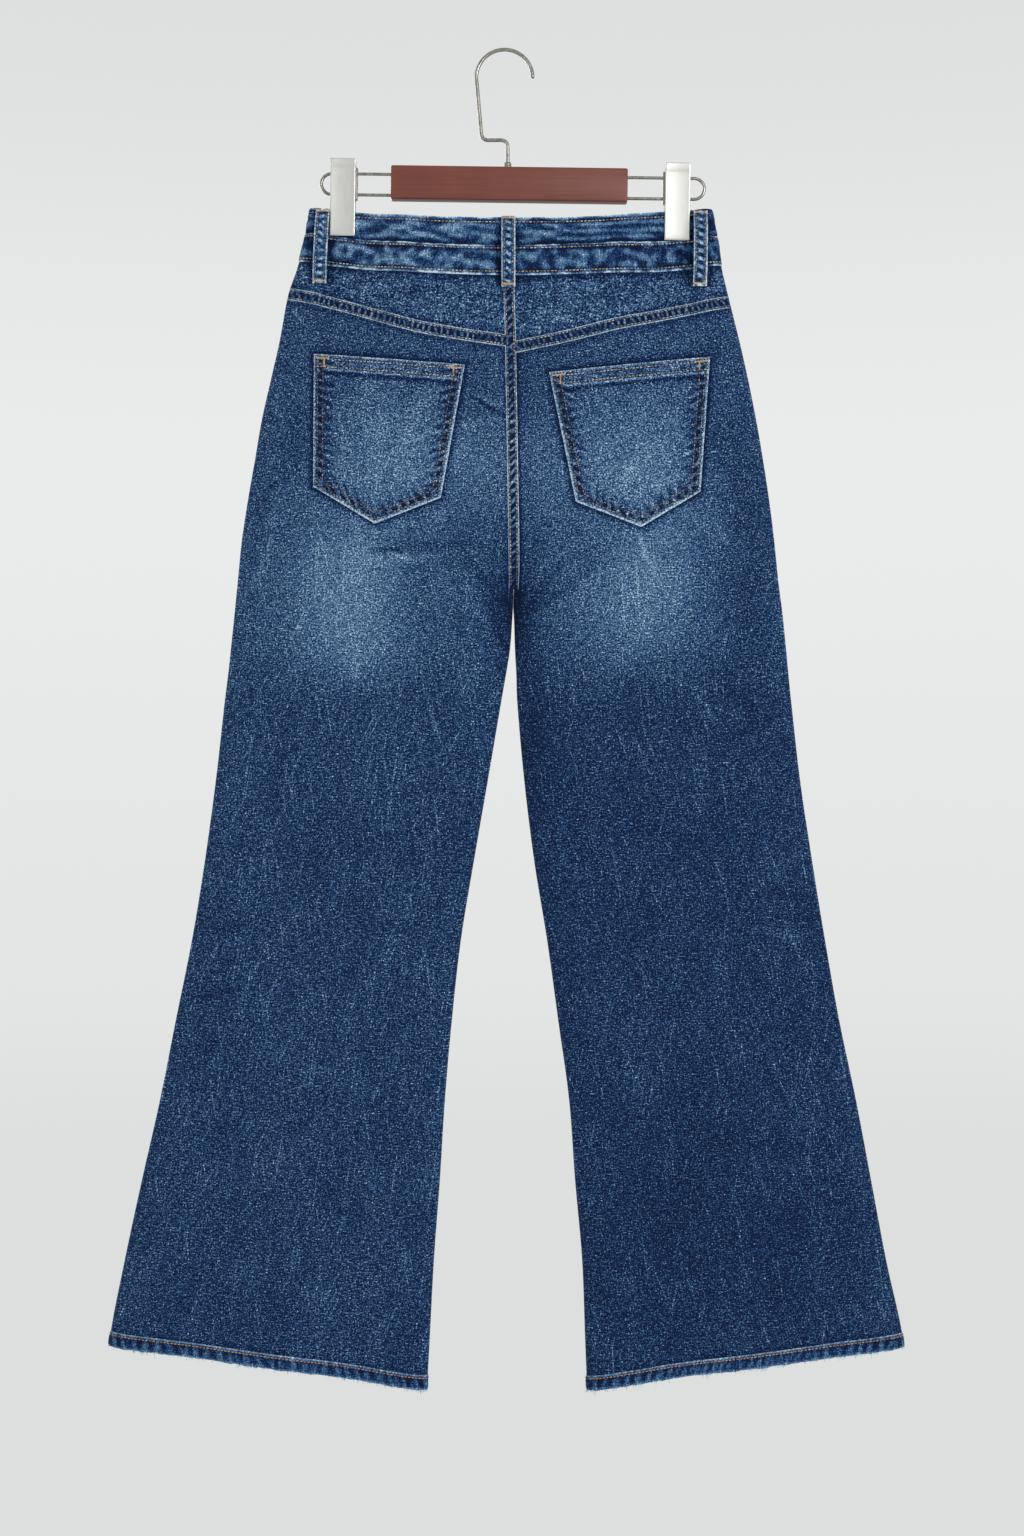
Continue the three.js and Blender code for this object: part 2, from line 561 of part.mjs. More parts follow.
const flyEdge = {
  top: (x) => waistLine('bottom', 'front', x) - SEAM_GAP,
  foot: (x) => {
    const away = clamp((CENTRE + FLY.lap - x) / (FLY.width + FLY.lap), 0, 1);
    return FLY.foot + FLY.bend * away ** 3;
  },
};
addPiece('fly_flap', centrePatch(CENTRE - FLY.width, CENTRE + FLY.lap, 8, 8, flyEdge,
  CLOTH / 2 + SEAM_GAP + FLY.cloth / 2, FLY.cloth), MATERIALS.denim);

const zipEdge = { top: () => ZIP.top, foot: () => ZIP.foot };
const zipDepth = -(CLOTH / 2 + SEAM_GAP + ZIP.thickness / 2);
addPiece('zip_tape', centrePatch(CENTRE - ZIP.width / 2, CENTRE + ZIP.width / 2, 5, 8, zipEdge,
  zipDepth, ZIP.thickness), MATERIALS.zipTape);

const sliderZ = ZIP.top - ZIP_SLIDER.height;
const seatX = CENTRE + ZIP_SLIDER.seatAside;
const seatZ = sliderZ + ZIP_SLIDER.seatAbove;
const sliderFace = movedOut('left', 'front', acrossAt('left', 'front', seatX, seatZ), seatZ,
  zipDepth - ZIP.thickness / 2).y;
const sliderShape = new THREE.Shape();
sliderShape.absarc(0, ZIP_SLIDER.height / 2 - ZIP_SLIDER.width / 2, ZIP_SLIDER.width / 2, 0, Math.PI);
const footRadius = ZIP_SLIDER.footWidth / 2;
sliderShape.absarc(0, -ZIP_SLIDER.height / 2 + footRadius, footRadius, Math.PI, 2 * Math.PI);
sliderShape.closePath();
const sliderGeometry = new THREE.ExtrudeGeometry(sliderShape,
  { depth: ZIP_SLIDER.thickness, bevelEnabled: false, curveSegments: 6 });
sliderGeometry.rotateX(Math.PI / 2);
const zipSlider = addPiece('zip_slider', sliderGeometry, MATERIALS.brass);
zipSlider.position.set(CENTRE, sliderFace - SEAM_GAP, sliderZ);

const buttonPoints = BUTTON_PROFILE.map(([r, h]) => new THREE.Vector2(r, h));
for (const [name, band, thickness] of [['upper', ['top', 'middle'], UPPER_BAND],
  ['lower', ['middle', 'bottom'], LOWER_BAND]]) {
  const turned = new THREE.LatheGeometry(buttonPoints, BUTTON.sides);
  const button = addPiece(`button_${name}`, turned, MATERIALS.brass);
  const z = (waistLine(band[0], 'front', CENTRE) + waistLine(band[1], 'front', CENTRE)) / 2;
  const x = CENTRE + BUTTON.aside;
  const seat = movedOut('right', 'front', acrossAt('right', 'front', x, z), z, thickness / 2 + SEAM_GAP);
  button.position.copy(seat);
}

// Hanger: a flat bar with a wire loop at each end, and a clip that slides on each loop
const hanger = new THREE.Group();
hanger.position.set(BAR.x, 0, BAR.z);
hanger.rotation.y = BAR.tilt;
model.add(hanger);

function asManifold(geometry) {
  const plain = geometry.clone();
  plain.deleteAttribute('normal');
  plain.deleteAttribute('uv');
  const merged = mergeVertices(plain, 1e-4);
  return new wasm.Manifold(new wasm.Mesh({
    numProp: 3,
    vertProperties: new Float32Array(merged.attributes.position.array),
    triVerts: new Uint32Array(merged.index.array),
  }));
}

function asGeometry(solid) {
  const mesh = solid.getMesh();
  const geometry = new THREE.BufferGeometry();
  geometry.setAttribute('position', new THREE.BufferAttribute(mesh.vertProperties, 3));
  geometry.setIndex(new THREE.BufferAttribute(mesh.triVerts, 1));
  return geometry;
}

function roundedRectangle(width, height, corner) {
  const shape = new THREE.Shape();
  const [x, y] = [width / 2, height / 2];
  shape.absarc(x - corner, y - corner, corner, 0, Math.PI / 2);
  shape.absarc(-x + corner, y - corner, corner, Math.PI / 2, Math.PI);
  shape.absarc(-x + corner, -y + corner, corner, Math.PI, 1.5 * Math.PI);
  shape.absarc(x - corner, -y + corner, corner, 1.5 * Math.PI, 2 * Math.PI);
  return shape;
}

// A rod along X, for a bore
function boreAlongX(radius, length, x, z) {
  const rod = new THREE.CylinderGeometry(radius, radius, length, BORE_SIDES);
  rod.rotateZ(Math.PI / 2);
  return rod.translate(x, 0, z);
}

const barGeometry = new THREE.ExtrudeGeometry(roundedRectangle(BAR.depth, BAR.height, BAR.corner),
  { depth: BAR.length, bevelEnabled: false, curveSegments: 3 });
barGeometry.rotateZ(Math.PI / 2);
barGeometry.rotateY(Math.PI / 2);
barGeometry.translate(-BAR.length / 2, 0, 0);
let bar = asManifold(barGeometry);
for (const end of [-1, 1]) {
  for (const z of [WIRES.upper, WIRES.lower]) {
    const depth = WIRES.seat + SEAM_GAP;
    const x = end * (BAR.length / 2 - depth / 2 + 0.5);
    bar = bar.subtract(asManifold(boreAlongX(WIRE_RADIUS + BORE_CLEARANCE, depth + 1, x, z)));
  }
}
// The hook's shank stands upright, so its bore is cut against the bar's tilt
const shankEnd = HOOK_SHANK.at(-1);
const boreRadius = HOOK.wire + BORE_CLEARANCE;
const shankBore = new THREE.CylinderGeometry(boreRadius, boreRadius, SHANK_BORE_LENGTH, BORE_SIDES);
shankBore.rotateX(Math.PI / 2);
shankBore.rotateY(-BAR.tilt);
const boreMiddle = shankEnd.z + SHANK_BORE_LENGTH / 2 - SEAM_GAP;
hanger.updateMatrixWorld();
const boreAt = hanger.worldToLocal(new THREE.Vector3(shankEnd.x, 0, boreMiddle));
shankBore.translate(boreAt.x, 0, boreAt.z);
bar = bar.subtract(asManifold(shankBore));
addPiece('hanger_bar', asGeometry(bar), MATERIALS.wood, hanger);

class HookCurve extends THREE.CurvePath {
  constructor() {
    super();
    const centre = new THREE.Vector3(0, 0, HOOK.wire - HOOK.radius);
    const onArc = (angle) => new THREE.Vector3(
      HOOK.radius * Math.cos(angle), 0, centre.z + HOOK.radius * Math.sin(angle));
    const arc = [];
    for (let i = 0; i <= HOOK.arcSteps; i += 1) {
      arc.push(onArc(lerp(HOOK.tipAngle, HOOK.heelAngle, i / HOOK.arcSteps)));
    }
    const shank = HOOK_SHANK.map(({ x, z }) => new THREE.Vector3(x, 0, z));
    this.add(new THREE.CatmullRomCurve3(arc));
    this.add(new THREE.LineCurve3(arc.at(-1), shank[0]));
    this.add(new THREE.QuadraticBezierCurve3(shank[0], shank[1], shank[2]));
    this.add(new THREE.LineCurve3(shank[2], shank[3]));
    this.add(new THREE.QuadraticBezierCurve3(shank[3], shank[4], shank[5]));
    this.add(new THREE.LineCurve3(shank[5], shank[6]));
  }
}

function roundSection(radius, sides) {
  const points = [...Array(sides).keys()].map((i) => {
    const angle = 2 * Math.PI * (i + 0.5) / sides;
    return new THREE.Vector2(radius * Math.cos(angle), radius * Math.sin(angle));
  });
  return new THREE.Shape(points);
}

addPiece('hanger_hook', new THREE.ExtrudeGeometry(roundSection(HOOK.wire, HOOK.sides),
  { extrudePath: new HookCurve(), steps: HOOK.steps }), MATERIALS.steel);

const ferruleBore = HOOK.wire + SEAM_GAP;
const ferrulePoints = [
  [ferruleBore, 0], [FERRULE.radius, 0], [FERRULE.radius, FERRULE.height - FERRULE.shoulder],
  [FERRULE.radius - FERRULE.taper, FERRULE.height - FERRULE.lip], [ferruleBore, FERRULE.height],
  [ferruleBore, 0],
].map(([r, h]) => new THREE.Vector2(r, h));
const ferruleGeometry = new THREE.LatheGeometry(ferrulePoints, FERRULE.sides);
ferruleGeometry.rotateX(Math.PI / 2);
const ferrule = addPiece('hook_ferrule', ferruleGeometry, MATERIALS.steel);
const barTop = BAR.z + BAR.height / 2 - (shankEnd.x - BAR.x) * BAR.tilt;
ferrule.position.set(shankEnd.x, 0, barTop + SEAM_GAP);

const WIRE_SIDES = 8;
const WIRE_STEPS = 30;
function wireLoop(end, sign) {
  const middle = (WIRES.upper + WIRES.lower) / 2;
  const radius = (WIRES.upper - WIRES.lower) / 2;
  const start = sign * (BAR.length / 2 - WIRES.seat);
  const straight = end - sign * radius;
  const path = new THREE.CurvePath();
  path.add(new THREE.LineCurve3(new THREE.Vector3(start, 0, WIRES.upper),
    new THREE.Vector3(straight, 0, WIRES.upper)));
  const bend = [];
  for (let i = 0; i <= WIRES.bendSteps; i += 1) {
    const angle = Math.PI * i / WIRES.bendSteps;
    bend.push(new THREE.Vector3(straight + sign * radius * Math.sin(angle), 0,
      middle + radius * Math.cos(angle)));
  }
  path.add(new THREE.CatmullRomCurve3(bend));
  path.add(new THREE.LineCurve3(new THREE.Vector3(straight, 0, WIRES.lower),
    new THREE.Vector3(start, 0, WIRES.lower)));
  return new THREE.ExtrudeGeometry(roundSection(WIRE_RADIUS, WIRE_SIDES),
    { extrudePath: path, steps: WIRE_STEPS });
}
addPiece('hanger_wire_left', wireLoop(WIRES.leftEnd, -1), MATERIALS.steel, hanger);
addPiece('hanger_wire_right', wireLoop(WIRES.rightEnd, 1), MATERIALS.steel, hanger);

// A clip plate in profile: flat down to the jaw, with its upper end splayed for the thumb
function clipPlate(faceSign) {
  const inside = CLIP.inside;
  const outside = CLIP.inside + CLIP.sheet;
  const profile = new THREE.Shape([
    [inside, CLIP.foot], [outside, CLIP.foot], [outside, CLIP.splayFrom], [outside + CLIP.splay, CLIP.top],
    [inside + CLIP.splay, CLIP.top], [inside, CLIP.splayFrom],
  ].map(([y, z]) => new THREE.Vector2(y, z)));
  const geometry = new THREE.ExtrudeGeometry(profile, { depth: CLIP.width, bevelEnabled: false });
  // The profile's first axis becomes Y, its second Z, and the extrusion runs along X
  geometry.rotateX(Math.PI / 2);
  geometry.rotateZ(Math.PI / 2);
  geometry.translate(-CLIP.width / 2, 0, 0);
  if (faceSign < 0) {
    geometry.rotateZ(Math.PI);
  }
  return geometry;
}

for (const place of CLIP_PLACES) {
  for (const face of ['back', 'front']) {
    const plate = addPiece(`clip_${place.name}_${face}`, clipPlate(SIGN[face]), MATERIALS.steel, hanger);
    plate.position.x = place.x;
  }
  const halfWidth = SLIDER.width / 2;
  const height = SLIDER.top - SLIDER.foot;
  const block = new THREE.BoxGeometry(SLIDER.width + SLIDER.tab, 2 * SLIDER.halfDepth, height);
  const aside = place.inward * (CLIP.width / 2 - halfWidth + SLIDER.tab / 2);
  block.translate(aside, 0, (SLIDER.top + SLIDER.foot) / 2);
  let slider = asManifold(block);
  for (const z of [WIRES.upper, WIRES.lower]) {
    slider = slider.subtract(asManifold(boreAlongX(WIRE_RADIUS + BORE_CLEARANCE, SLIDER_BORE_LENGTH, 0, z)));
  }
  const piece = addPiece(`clip_slider_${place.name}`, asGeometry(slider), MATERIALS.steel, hanger);
  piece.position.x = place.x;
}

export default model;
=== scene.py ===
import math
from functools import partial

import bpy
import numpy as np
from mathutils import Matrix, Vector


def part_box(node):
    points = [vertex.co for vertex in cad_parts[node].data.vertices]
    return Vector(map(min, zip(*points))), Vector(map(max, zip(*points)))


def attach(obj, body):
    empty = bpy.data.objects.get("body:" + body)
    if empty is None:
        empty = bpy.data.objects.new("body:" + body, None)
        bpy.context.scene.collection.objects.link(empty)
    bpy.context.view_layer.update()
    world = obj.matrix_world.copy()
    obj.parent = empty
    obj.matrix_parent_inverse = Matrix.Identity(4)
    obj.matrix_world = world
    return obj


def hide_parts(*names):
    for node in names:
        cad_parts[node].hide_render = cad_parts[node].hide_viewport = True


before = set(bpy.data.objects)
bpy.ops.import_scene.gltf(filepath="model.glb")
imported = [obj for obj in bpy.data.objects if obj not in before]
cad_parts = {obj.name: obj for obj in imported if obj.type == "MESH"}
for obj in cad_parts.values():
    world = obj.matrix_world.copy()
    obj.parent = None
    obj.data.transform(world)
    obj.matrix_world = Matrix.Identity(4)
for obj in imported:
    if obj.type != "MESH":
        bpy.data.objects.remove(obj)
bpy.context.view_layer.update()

# Camera: level with the thighs and square to the seat, as a catalogue view is taken.
# The lens gives a frame 1.352 m tall in the plane of the jeans, 2.2 m away.
VIEW_HEIGHT = 1.3517
VIEW_DISTANCE = 2.2
VIEW_CENTRE = (0.0066, -0.6305)
SENSOR_MM = 36

camera_data = bpy.data.cameras.new("catalogue_camera")
camera_data.sensor_width = SENSOR_MM
camera_data.lens = SENSOR_MM * VIEW_DISTANCE / VIEW_HEIGHT
camera = bpy.data.objects.new("catalogue_camera", camera_data)
camera.location = (VIEW_CENTRE[0], -VIEW_DISTANCE, VIEW_CENTRE[1])
camera.rotation_euler = (math.pi / 2, 0, 0)
scene = bpy.context.scene
scene.collection.objects.link(camera)
scene.camera = camera
scene.view_settings.view_transform = "Standard"


# Studio: a pale matt floor that curves up into a pale wall all round, with even light
# from everywhere and large soft lamps, the brightest from the right.
FLOOR_Z = -1.75
FLOOR_FLAT = 3.8
COVE_RADIUS = 1.8
COVE_STEPS = 24
WALL_TOP = 3.0
STUDIO_SIDES = 128
# The colours of the paper's painted glow, from the floor to the top of the wall
PAPER_GLOW = [(0, "#dcdfdd"), (0.12, "#e3e6e4"), (0.42, "#eaeceb"), (0.75, "#dde0df"), (1, "#d5d8d7")]
LAMPS = [
    ("key_lamp", (2.3, -2.9, 0.1), 1.3, 62),
    ("fill_lamp", (-2.6, -2.4, -0.4), 2.2, 12),
    ("back_lamp", (-1.6, 2.9, 0.2), 1.6, 48),
    ("clip_glint", (0.62, -2.2, 0.42), 0.3, 4.9),
]
LAMP_AIM = (0.0, 0.0, -0.62)


def linear(hex_colour):
    """An sRGB hex colour as linear red, green, blue and alpha."""
    channels = [int(hex_colour[i:i + 2], 16) / 255 for i in (1, 3, 5)]
    return tuple(c / 12.92 if c <= 0.04045 else ((c + 0.055) / 1.055) ** 2.4 for c in channels) + (1.0,)


def add_node(tree, kind, inputs=None, links=None, **settings):
    """Adds a shader node, sets its properties and inputs, and links sockets to its inputs."""
    node = tree.nodes.new(kind)
    for name, value in settings.items():
        setattr(node, name, value)
    for name, value in (inputs or {}).items():
        node.inputs[name].default_value = value
    for name, socket in (links or {}).items():
        tree.links.new(socket, node.inputs[name])
    return node


def new_material(name, **shader_inputs):
    """A material with one Principled shader, and its node tree."""
    material = bpy.data.materials.new(name)
    material.use_nodes = True
    tree = material.node_tree
    shader = tree.nodes["Principled BSDF"]
    for socket, value in shader_inputs.items():
        shader.inputs[socket.replace("_", " ")].default_value = value
    return material, tree, shader


def ring_faces(rings, sides):
    """The faces between rings of points, which all have the same number of sides."""
    return [(k * sides + i, k * sides + (i + 1) % sides,
             (k + 1) * sides + (i + 1) % sides, (k + 1) * sides + i)
            for k in range(rings - 1) for i in range(sides)]


# Matt pale grey paper that glows with painted light instead of being lit, so that it looks
# even, a little deeper on the floor and towards the top of the wall.
studio_paper, paper_tree, paper_shader = new_material("glowing_pale_grey_paper", Roughness=0.95)
paper_place = add_node(paper_tree, "ShaderNodeTexCoord")
paper_height = add_node(paper_tree, "ShaderNodeSeparateXYZ", links={"Vector": paper_place.outputs["Object"]})
paper_share = add_node(paper_tree, "ShaderNodeMapRange", {"From Min": FLOOR_Z, "From Max": WALL_TOP},
                       {"Value": paper_height.outputs["Z"]})
paper_ramp = add_node(paper_tree, "ShaderNodeValToRGB", links={"Fac": paper_share.outputs[0]})
paper_ramp.color_ramp.interpolation = "EASE"
paper_ramp.color_ramp.elements[0].color = linear(PAPER_GLOW[0][1])
paper_ramp.color_ramp.elements[1].color = linear(PAPER_GLOW[-1][1])
for share, colour in PAPER_GLOW[1:-1]:
    paper_ramp.color_ramp.elements.new(share).color = linear(colour)
paper_shader.inputs["Base Color"].default_value = (0, 0, 0, 1)
paper_shader.inputs["Specular IOR Level"].default_value = 0.0
paper_shader.inputs["Emission Strength"].default_value = 1.0
paper_tree.links.new(paper_ramp.outputs["Color"], paper_shader.inputs["Emission Color"])

cove = [(0.001, FLOOR_Z), (FLOOR_FLAT, FLOOR_Z)]
for step in range(1, COVE_STEPS + 1):
    turn = math.pi / 2 * step / COVE_STEPS
    cove.append((FLOOR_FLAT + COVE_RADIUS * math.sin(turn), FLOOR_Z + COVE_RADIUS * (1 - math.cos(turn))))
cove.append((FLOOR_FLAT + COVE_RADIUS, WALL_TOP))
studio_angles = [2 * math.pi * i / STUDIO_SIDES for i in range(STUDIO_SIDES)]
studio_points = [(radius * math.cos(a), radius * math.sin(a), z) for radius, z in cove for a in studio_angles]
studio_mesh = bpy.data.meshes.new("studio_floor_and_wall")
studio_mesh.from_pydata(studio_points, [], ring_faces(len(cove), STUDIO_SIDES))
studio_mesh.shade_smooth()
studio = bpy.data.objects.new("studio_floor_and_wall", studio_mesh)
studio.data.materials.append(studio_paper)
studio.visible_shadow = False
studio.visible_diffuse = False
studio.visible_glossy = False
scene.collection.objects.link(studio)

world = bpy.data.worlds.new("even_studio_light")
world.use_nodes = True
world.node_tree.nodes["Background"].inputs["Color"].default_value = linear("#e9ebea")
world.node_tree.nodes["Background"].inputs["Strength"].default_value = 0.86
scene.world = world

for lamp_name, lamp_place, lamp_size, lamp_power in LAMPS:
    lamp_data = bpy.data.lights.new(lamp_name, "AREA")
    lamp_data.shape = "DISK"
    lamp_data.size = lamp_size
    lamp_data.energy = lamp_power
    lamp = bpy.data.objects.new(lamp_name, lamp_data)
    lamp.location = lamp_place
    aim = np.array(LAMP_AIM) - np.array(lamp_place)
    tilt = math.acos(-aim[2] / np.linalg.norm(aim))
    lamp.rotation_euler = (tilt, 0, math.atan2(aim[1], aim[0]) - math.pi / 2)
    lamp.visible_diffuse = lamp_name != "clip_glint"
    scene.collection.objects.link(lamp)


# Legs: two back and two front panels of stretch denim, sewn at the outseams, inseams and
# centre seams, and hung flat. The form is worked out from a table of levels, in mm.
MM = 0.001
CLOTH = 1.2
SEAM_GAP = 0.1
CROTCH = -488
SEAT_TURN = -415
EDGE_ROUNDING = 0.7
SIGN = {"left": -1, "right": 1, "back": -1, "front": 1}


def table(names, *rows):
    """A short table as one array for each named column."""
    return dict(zip(names.split(), np.array(rows, float).T))


LEVELS = table(
    "z left_out left_in right_in right_out depth",
    (-138, -171.2, 3.5, 3.5, 182.4, 15),
    (-165, -175.6, 3.5, 3.5, 187.2, 17),
    (-190, -182, 3.7, 3.7, 190.9, 19),
    (-215, -190.3, 4, 4, 196.7, 21),
    (-254, -197.6, 5.2, 5.2, 206.4, 22.5),
    (-289, -205.5, 5.8, 5.8, 214.3, 23.5),
    (-324, -213.4, 6.4, 6.4, 221.3, 24),
    (-360, -219.6, 7, 7, 227.5, 24),
    (-395, -225.7, 7.6, 7.6, 232.8, 23.5),
    (-430, -231, 8.2, 8.2, 237.2, 22.5),
    (-465, -234.5, 8.4, 8.4, 240.7, 21.3),
    (-488, -236.8, 7.6, 7.6, 243.7, 20.4),
    (-500, -238, 6.9, 8.3, 245.1, 20),
    (-526, -240.7, 4.9, 9.1, 247.7, 19.1),
    (-548, -243.1, 1.4, 10.3, 249.8, 18.4),
    (-571, -246, -2.6, 11, 252.1, 17.6),
    (-641, -253.9, -14.5, 17.2, 260, 15.8),
    (-712, -263.6, -26.8, 26, 270.6, 14.8),
    (-782, -275, -38.3, 37.4, 282, 14.4),
    (-852, -289.1, -46.2, 47.1, 294.4, 14.4),
    (-923, -303.2, -52.4, 56.8, 309.3, 15),
    (-993, -319, -56.8, 62, 322.5, 15.8),
    (-1063, -334, -62, 68.2, 335.7, 16.8),
    (-1134, -347.4, -65.8, 70.9, 350.8, 17.6),
    (-1180, -349, -68.3, 72.7, 353, 18),
)
WAIST_LINES = table(
    "x top middle bottom",
    (-180, -138.2, -161.3, -185.3),
    (-150, -140.4, -164.2, -189.2),
    (-74, -147.5, -172.6, -197.6),
    (3.5, -149.3, -175.1, -200.8),
    (84, -147.9, -172.6, -198.4),
    (140, -141.6, -168.2, -194.5),
    (190, -139.3, -164, -189),
)
YOKE_SEAM = {
    "left": table(
        "x seam",
        (-190, -214.3), (-149, -224.1), (-107, -236.6), (-75, -245.5), (-37.6, -252.4), (4, -258.5)),
    "right": table(
        "x seam",
        (4, -265.1), (58, -253.3), (95, -243.7), (137, -234.9), (198, -221.3)),
}
HEM_EDGE = table(
    "across left right",
    (0, -1138, -1139.2),
    (0.25, -1145.6, -1147),
    (0.5, -1154.2, -1155.2),
    (0.75, -1164.4, -1165.2),
    (1, -1177, -1177.4),
)
HEM_HEIGHT = 13
FRONT_DROP = 9
SCOOP_WIDTH = 92
SCOOP_DEPTH = 58
SCOOP_CURVE = 2.2
CENTRE = 3.5

# Where the clips press the two layers of the waist flat
GRIPS = table("x flat outer inner", (-142, 12.5, 11, 48), (153, 12.5, 11, 48))
GRIP_RISE = 1.5
GRIP_BOTTOM = -166
GRIP_FADE = -256

# The largest folds run down a panel from one share of its width to another
FOLD_COLUMNS = "top foot start end width height"
FOLDS = {
    ("left", "back"): table(
        FOLD_COLUMNS,
        (-470, -1200, 0.34, 0.24, 0.11, -2.6),
        (-560, -1200, 0.55, 0.5, 0.1, 2.4),
        (-620, -1200, 0.72, 0.76, 0.09, -3)),
    ("right", "back"): table(
        FOLD_COLUMNS,
        (-500, -1200, 0.3, 0.2, 0.1, -2.4),
        (-540, -1200, 0.52, 0.46, 0.11, 2.6),
        (-640, -1200, 0.7, 0.72, 0.09, -3.2)),
    ("left", "front"): table(
        FOLD_COLUMNS,
        (-420, -1200, 0.6, 0.42, 0.1, -3),
        (-600, -1200, 0.4, 0.66, 0.1, 2.6)),
    ("right", "front"): table(
        FOLD_COLUMNS,
        (-430, -1200, 0.62, 0.4, 0.1, -3.2),
        (-620, -1200, 0.38, 0.64, 0.1, 2.4)),
}


def smooth(value, low, high):
    """0 below low, 1 above high, and a smooth step between."""
    t = np.clip((value - low) / (high - low), 0, 1)
    return t * t * (3 - 2 * t)


def on_curve(rows, key, column, at):
    """Reads a column at any place between its rows, on a smooth curve."""
    x, y = rows[key], rows[column]
    if x[0] > x[-1]:
        x, y = x[::-1], y[::-1]
    slope = np.empty(len(x))
    slope[1:-1] = (y[2:] - y[:-2]) / (x[2:] - x[:-2])
    slope[0] = (y[1] - y[0]) / (x[1] - x[0])
    slope[-1] = (y[-1] - y[-2]) / (x[-1] - x[-2])
    at = np.clip(at, x[0], x[-1])
    i = np.clip(np.searchsorted(x, at) - 1, 0, len(x) - 2)
    span = x[i + 1] - x[i]
    t = (at - x[i]) / span
    return ((2 * t**3 - 3 * t**2 + 1) * y[i] + (t**3 - 2 * t**2 + t) * span * slope[i]
            + (3 * t**2 - 2 * t**3) * y[i + 1] + (t**3 - t**2) * span * slope[i + 1])


def grip_at(x, z):
    """How far the clips press the layers together: 1 in a clip, 0 away from it."""
    grip = np.zeros(np.broadcast(x, z).shape)
    for clip_x, flat, outer, inner in zip(*(GRIPS[c] for c in ("x", "flat", "outer", "inner"))):
        away = np.abs(x - clip_x) - flat
        reach = np.where(np.abs(x) > abs(clip_x), outer, inner)
        grip = np.maximum(grip, 1 - smooth(away / reach, 0, 1))
    return grip * (1 - smooth(-z, -GRIP_BOTTOM, -GRIP_FADE))


def fold_height(side, face, s, z):
    """How far the largest folds lift the cloth."""
    height = 0
    for top, foot, start, end, width, rise in zip(*FOLDS[side, face].values()):
        down = np.clip((top - z) / (top - foot), 0, 1)
        away = (s - (start + (end - start) * down)) / width
        height = height + rise * smooth(down, 0, 0.45) * np.exp(-away**2)
    return height


def leg_edges(side, z):
    """The middle of the cloth at the outseam, and at the centre seam or inseam."""
    turn = smooth(SEAT_TURN - z, 0, SEAT_TURN - CROTCH)
    outer = on_curve(LEVELS, "z", side + "_out", z) - SIGN[side] * CLOTH / 2
    both = [on_curve(LEVELS, "z", column, z) for column in ("left_in", "right_in")]
    inner = np.where(z >= CROTCH, (both[0] + both[1]) / 2, both[side == "right"])
    return outer, inner + SIGN[side] * (SEAM_GAP / 2 + np.sqrt(turn) * CLOTH / 2)


def cloth_middle(side, face, s, z):
    """A point in the middle of the cloth, s across from the outseam (0) to the inner seam (1)."""
    turn = smooth(SEAT_TURN - z, 0, SEAT_TURN - CROTCH)
    end_angle = (math.pi / 2) * (1 + turn)
    outer, inner = leg_edges(side, z)
    angle = np.arccos(np.clip(1 - s * (1 - np.cos(end_angle)), -1, 1))
    shape = np.maximum(np.sin(angle), 0) ** EDGE_ROUNDING
    x = outer + (inner - outer) * s
    free = shape * (on_curve(LEVELS, "z", "depth", z) + fold_height(side, face, s, z))
    rise = np.minimum(free, free + (GRIP_RISE - free) * grip_at(x, z))
    return np.stack(np.broadcast_arrays(x, SIGN[face] * (SEAM_GAP / 2 + rise), z), axis=-1)


def cloth_outward(side, face, s, z):
    """The level outward direction of the cloth."""
    s, z = np.broadcast_arrays(np.asarray(s, float), np.asarray(z, float))
    step = 0.25 * np.minimum(s, 1 - s) + 1e-6
    along = (cloth_middle(side, face, np.minimum(s + step, 1), z)
             - cloth_middle(side, face, np.maximum(s - step, 0), z))
    outward = np.stack([-along[..., 1], along[..., 0], np.zeros_like(s)], axis=-1)
    outward *= -SIGN[side] * SIGN[face] / np.linalg.norm(outward, axis=-1, keepdims=True)
    outward[s <= 0] = (SIGN[side], 0, 0)
    outward[(s >= 1) & (z <= CROTCH)] = (-SIGN[side], 0, 0)
    outward[(s >= 1) & (z >= SEAT_TURN)] = (0, SIGN[face], 0)
    return outward
